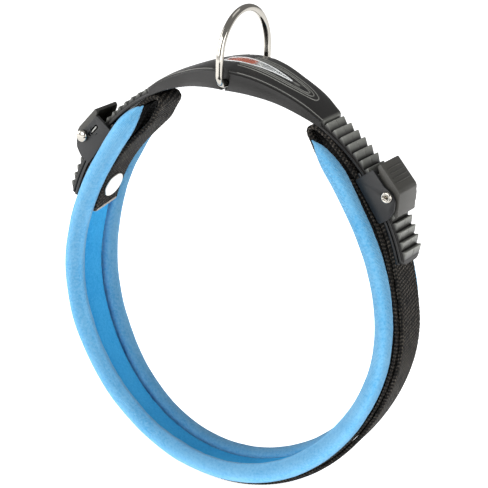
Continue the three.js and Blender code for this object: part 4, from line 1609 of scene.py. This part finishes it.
@dataclass
class Buckle:
    """A lever buckle: housing, lever, pivot rivet, spring, and the rivet that fixes it."""

    side: Side
    paint: Paintbox
    cheek_in: float = 10.3
    cheek_out: float = 12.4
    foot_r: float = 98.6
    base: tuple[float, float] = (99.9, 101.6)
    base_span: tuple[float, float] = (47.8, 61.9)
    tongue_span: tuple[float, float] = (46.6, 75.0)
    tongue_half: float = 10.0
    pin_degrees: float = 56.2
    pin_r: float = 1.3
    bore_r: float = 1.6
    head_r: float = 2.9
    boss_r: float = 2.7
    lever_half: float = 9.7
    lever_wall: float = 1.6
    spring_r: float = 2.2
    spring_wire: float = 0.35
    spring_turns: int = 5
    spring_half: float = 2.3
    rivet_degrees: float = 67.6
    post_r: float = 1.9
    cap_r: float = 7.2
    cap_face_r: float = 86.2
    burr_r: float = 4.2

    @property
    def lever_body(self) -> Body:
        """The body that this buckle's lever is."""
        return Body.LEFT_LEVER if self.side is Side.LEFT else Body.RIGHT_LEVER

    def name(self, part: str) -> str:
        """Names one of this buckle's parts."""
        return f"{self.side.value}_{part}"

    def done(self, bm: bmesh.types.BMesh, part: str, sharp: float = 32) -> bpy.types.Object:
        """Puts a right-hand mesh on this buckle's side and finishes it."""
        return finish_mesh(half_turn(bm, self.side), self.name(part), sharp)

    def build(self) -> list[bpy.types.Object]:
        """Makes the buckle's pieces."""
        paint, band = self.paint, Body.BAND
        pieces = [dress(self.done(self.housing(), "buckle_body"), paint.housing, band,
                        [self.name("housing")])]
        pieces.append(dress(self.done(self.lever(), "buckle_lever"), paint.lever,
                            self.lever_body, [self.name("lever")]))
        pieces.append(dress(self.done(self.pivot(), "lever_pivot"), paint.nickel, band,
                            [self.name("pivot_rivet")]))
        pieces.append(dress(self.done(self.spring(), "lever_spring", 180), paint.steel, band,
                            [self.name("torsion_spring")]))
        pieces.append(dress(self.done(self.cap(), "cap_rivet"), paint.cap, band,
                            [self.name("fold_rivet")]))
        pieces.append(dress(self.done(self.burr(), "burr_washer"), paint.steel, band,
                            [self.name("rivet_burr")]))
        return pieces

    def arc_points(self, r: float, start: float, end: float, steps: int) -> list[Vector]:
        """Gives points along an arc about the strap's centre."""
        return [polar(r, lerp(start, end, k / steps)) for k in range(steps + 1)]

    def arc_plate(self, span: tuple[float, float], half: float, steps: int) -> bmesh.types.BMesh:
        """Makes a plate that follows the strap's arc."""
        low, high = self.base
        outline = self.arc_points(high, *span, steps) + self.arc_points(low, span[1], span[0], steps)
        return plate_mesh(outline, -half, half)

    def pin_circle(self, r: float, steps: int = 32) -> list[Vector]:
        """Gives a circle about the pivot."""
        turns = (2 * math.pi * k / steps for k in range(steps))
        return [Vector((PIN_X + r * math.cos(a), 0, PIN_Z + r * math.sin(a))) for a in turns]

    def cheek_outline(self) -> list[Vector]:
        """Gives the edge of a side cheek."""
        return [
            polar(self.foot_r, 47.7), polar(110.3, 48.3), polar(110.7, 53.6), polar(112.0, 55.2),
            polar(112.5, 56.6), polar(111.9, 58.3), polar(109.2, 60.4), polar(104.6, 61.9),
            polar(self.foot_r, 62.1),
        ]

    def oval(self, r: float, steps: int = 10) -> list[Vector]:
        """Gives the edge of the slot that the spring's leg rests in."""
        low, high = polar(106.3, 50.8), polar(106.9, 54.2)
        across = (high - low).normalized()
        start = math.atan2(across.z, across.x)
        points = []
        for centre, turn in ((high, -math.pi / 2), (low, math.pi / 2)):
            for k in range(steps + 1):
                a = start + turn + math.pi * k / steps
                points.append(centre + Vector((math.cos(a), 0, math.sin(a))) * r)
        return points

    def cheek(self, y0: float, y1: float, slotted: bool) -> bmesh.types.BMesh:
        """Makes one side cheek with its bore, and its slot if it has one."""
        holes = [self.pin_circle(self.bore_r)] + ([self.oval(1.1)] if slotted else [])
        bm = plate_mesh(rounded(self.cheek_outline(), 0.9), y0, y1, holes)
        soften(bm, 0.35, 2, 40)
        return bm

    def housing(self) -> bmesh.types.BMesh:
        """Makes the housing: two cheeks, the base between them and the riveted tongue."""
        base = self.arc_plate(self.base_span, self.cheek_in + 0.2, 14)
        tongue = self.arc_plate(self.tongue_span, self.tongue_half, 30)
        soften(tongue, 0.4, 2, 40)
        tongue = carve(tongue, [self.radial_cutter(self.post_r + 0.3, 90, 110),
                                self.radial_cutter(self.burr_r + 0.3, 100.6, 110)])
        rib = [polar(r, d, self.cheek_out) for r, d in
               ((108.6, 52.2), (107.9, 53.0), (106.2, 53.9), (104.6, 53.2), (103.9, 52.2))]
        section = ellipse(0.32, 0.32, 10)
        raised = sweep_mesh(tube_stations(spline(rib, 24), lambda t: section, Vector((0, 1, 0))))
        return join_meshes([
            self.cheek(self.cheek_in, self.cheek_out, True),
            self.cheek(-self.cheek_out, -self.cheek_in, False), base, tongue, raised,
        ])

    def radial_cutter(self, r: float, low: float, high: float) -> bmesh.types.BMesh:
        """Makes a cylinder along the strap's radius at the fold rivet."""
        bm = lathe_mesh([(0, low), (r, low), (r, high), (0, high)], 40)
        radial_place(bm, self.rivet_degrees)
        return bm

    def lever(self) -> bmesh.types.BMesh:
        """Makes the lever: a hooded shell with grip bars, and two barrels on the pin."""
        outer = [
            polar(111.7, 48.4), polar(113.5, 48.1), polar(114.2, 48.3), polar(115.2, 56.0),
            polar(114.9, 57.0), polar(108.4, 62.2), polar(107.0, 62.3), polar(106.8, 61.0),
            polar(106.9, 55.0), polar(108.8, 52.6),
        ]
        hollow = [
            polar(104, 47), polar(112.4, 47), polar(113.3, 55.9), polar(112.9, 56.6),
            polar(108.6, 60.2), polar(104, 59.6),
        ]
        inside = self.lever_half - self.lever_wall
        shell = plate_mesh(rounded(outer, 0.5), -self.lever_half, self.lever_half)
        soften(shell, 0.45, 3, 50)
        bore = lathe_mesh([(0, -20), (self.bore_r, -20), (self.bore_r, 20), (0, 20)], 32)
        bmesh.ops.translate(bore, verts=bore.verts, vec=(PIN_X, 0, PIN_Z))
        shell = carve(shell, [plate_mesh(hollow, -inside, inside), bore])
        parts = [shell]
        near, far = self.spring_half + 0.9, self.lever_half - self.lever_wall / 2
        for low, high in ((near, far), (-far, -near)):
            barrel = lathe_mesh([(self.bore_r, low), (self.boss_r - 0.3, low), (self.boss_r, low + 0.3),
                                 (self.boss_r, high), (self.bore_r, high), (self.bore_r, low)], 32)
            bmesh.ops.translate(barrel, verts=barrel.verts, vec=(PIN_X, 0, PIN_Z))
            parts.append(barrel)
        for degrees in (50.2, 51.5, 52.8, 54.1):
            parts.append(self.grip_bar(degrees))
        return join_meshes(parts)

    def grip_bar(self, degrees: float) -> bmesh.types.BMesh:
        """Makes one low bar across the lever's thumb face."""
        r = lerp(114.2, 115.2, (degrees - 48.3) / 7.7)
        path = [polar(r + 0.02, degrees, y) for y in (-7.6, -7.45, -7.2, 7.2, 7.45, 7.6)]
        widths = (0.1, 0.75, 1.0, 1.0, 0.75, 0.1)

        def section(t: float) -> list[tuple[float, float]]:
            """Gives the bar's section, which fades out at both ends."""
            full = widths[round(t * 5)]
            return ellipse(0.36 * full, 0.3 * full, 10)

        return sweep_mesh(tube_stations(path, section, polar(1, degrees) - polar(0, degrees)))

    def pivot(self) -> bmesh.types.BMesh:
        """Makes the pivot rivet: a round head at +Y, and a rolled tubular end at -Y."""
        face, head = self.cheek_out + 0.3, self.head_r
        lip = face + 1.3
        dome = [((head + 0.4) * math.cos(a), face + 0.7 + 1.5 * math.sin(a))
                for a in (math.pi / 2 * k / 8 for k in range(9))]
        roll = [(head - 0.75 + 0.75 * math.cos(a), -face - 0.65 - 0.75 * math.sin(a))
                for a in (math.pi * 0.95 * k / 10 for k in range(11))]
        bm = lathe_mesh([(0, -face + 2), (0.95, -face + 2), (1.15, -lip + 0.6), *roll[::-1],
                         (head, -face), (self.pin_r, -face), (self.pin_r, face), (head + 0.4, face),
                         *dome[:-1], (0, face + 2.2)])
        bmesh.ops.translate(bm, verts=bm.verts, vec=(PIN_X, 0, PIN_Z))
        return bm

    def spring(self) -> bmesh.types.BMesh:
        """Makes the torsion spring, whose outer leg shows in the cheek's slot."""
        steps = self.spring_turns * 28
        coil = []
        for k in range(steps + 1):
            t = k / steps
            a = math.radians(self.pin_degrees) - 2 * math.pi * self.spring_turns * t
            y = lerp(-self.spring_half, self.spring_half, t)
            coil.append(Vector((PIN_X + self.spring_r * math.sin(a), y, PIN_Z + self.spring_r * math.cos(a))))
        section = ellipse(self.spring_wire, self.spring_wire, 8)
        wire = sweep_mesh(tube_stations(coil, lambda t: section, Vector((0, 1, 0))))
        strip = plate_mesh([polar(106.0, 50.9), polar(106.9, 50.7), polar(107.2, 54.2), polar(106.4, 54.3)],
                           self.cheek_in + 0.5, self.cheek_out - 0.35)
        soften(strip, 0.2, 2)
        return join_meshes([wire, strip])

    def cap(self) -> bmesh.types.BMesh:
        """Makes the cap rivet: a shallow dome on the folded webbing, and its post."""
        face, r = self.cap_face_r, self.cap_r
        dome = [(r * math.sin(a), face - 0.45 - 1.05 * (math.cos(a) ** 0.8))
                for a in (math.pi / 2 * k / 14 for k in range(15))]
        top = self.base[1] - 0.2
        profile = [(0, dome[0][1]), *dome[1:]]
        profile += [(r, face - 0.15), (r - 0.25, face), (self.post_r, face), (self.post_r, top - 0.2),
                    (self.post_r - 0.2, top), (0, top)]
        bm = lathe_mesh(profile, 64)
        radial_place(bm, self.rivet_degrees)
        return bm

    def burr(self) -> bmesh.types.BMesh:
        """Makes the washer that the rivet's post is peened over."""
        low, high = self.base[1] - 0.7, self.base[1] - 0.1
        inner = self.post_r + 0.15
        bm = lathe_mesh([(inner, low), (self.burr_r - 0.15, low), (self.burr_r, low + 0.15),
                         (self.burr_r, high - 0.15), (self.burr_r - 0.15, high),
                         (inner, high), (inner, low)], 48)
        radial_place(bm, self.rivet_degrees)
        return bm


def rounded(outline: Sequence[Vector], r: float, steps: int = 4) -> list[Vector]:
    """Rounds the corners of a closed outline.

    Args:
        outline: the corners.
        r: how far from each corner its rounding starts.
        steps: how many edges each rounding has.

    Returns:
        The rounded outline.
    """
    points = []
    for k, corner in enumerate(outline):
        before, after = outline[k - 1], outline[(k + 1) % len(outline)]
        a = corner.lerp(before, min(r / (before - corner).length, 0.45))
        b = corner.lerp(after, min(r / (after - corner).length, 0.45))
        for i in range(steps + 1):
            t = i / steps
            points.append(a * (1 - t) ** 2 + corner * (2 * t * (1 - t)) + b * t**2)
    return points


def main() -> None:
    """Builds the studio and the collar."""
    logging.basicConfig(level=logging.INFO, format="%(name)s: %(message)s")
    Studio().build()
    paint = Paintbox()
    PaddingRoll("front_roll_cover", "front_padding_roll", -1, paint).build()
    PaddingRoll("rear_roll_cover", "rear_padding_roll", 1, paint).build()
    PaddingChannel(paint).build()
    BackingStrip(paint).build()
    Webbing(paint).build()
    ToothedStrap(paint).build()
    LeadRing(paint).build()
    for side in Side:
        Buckle(side, paint).build()


if __name__ == "__main__":
    main()
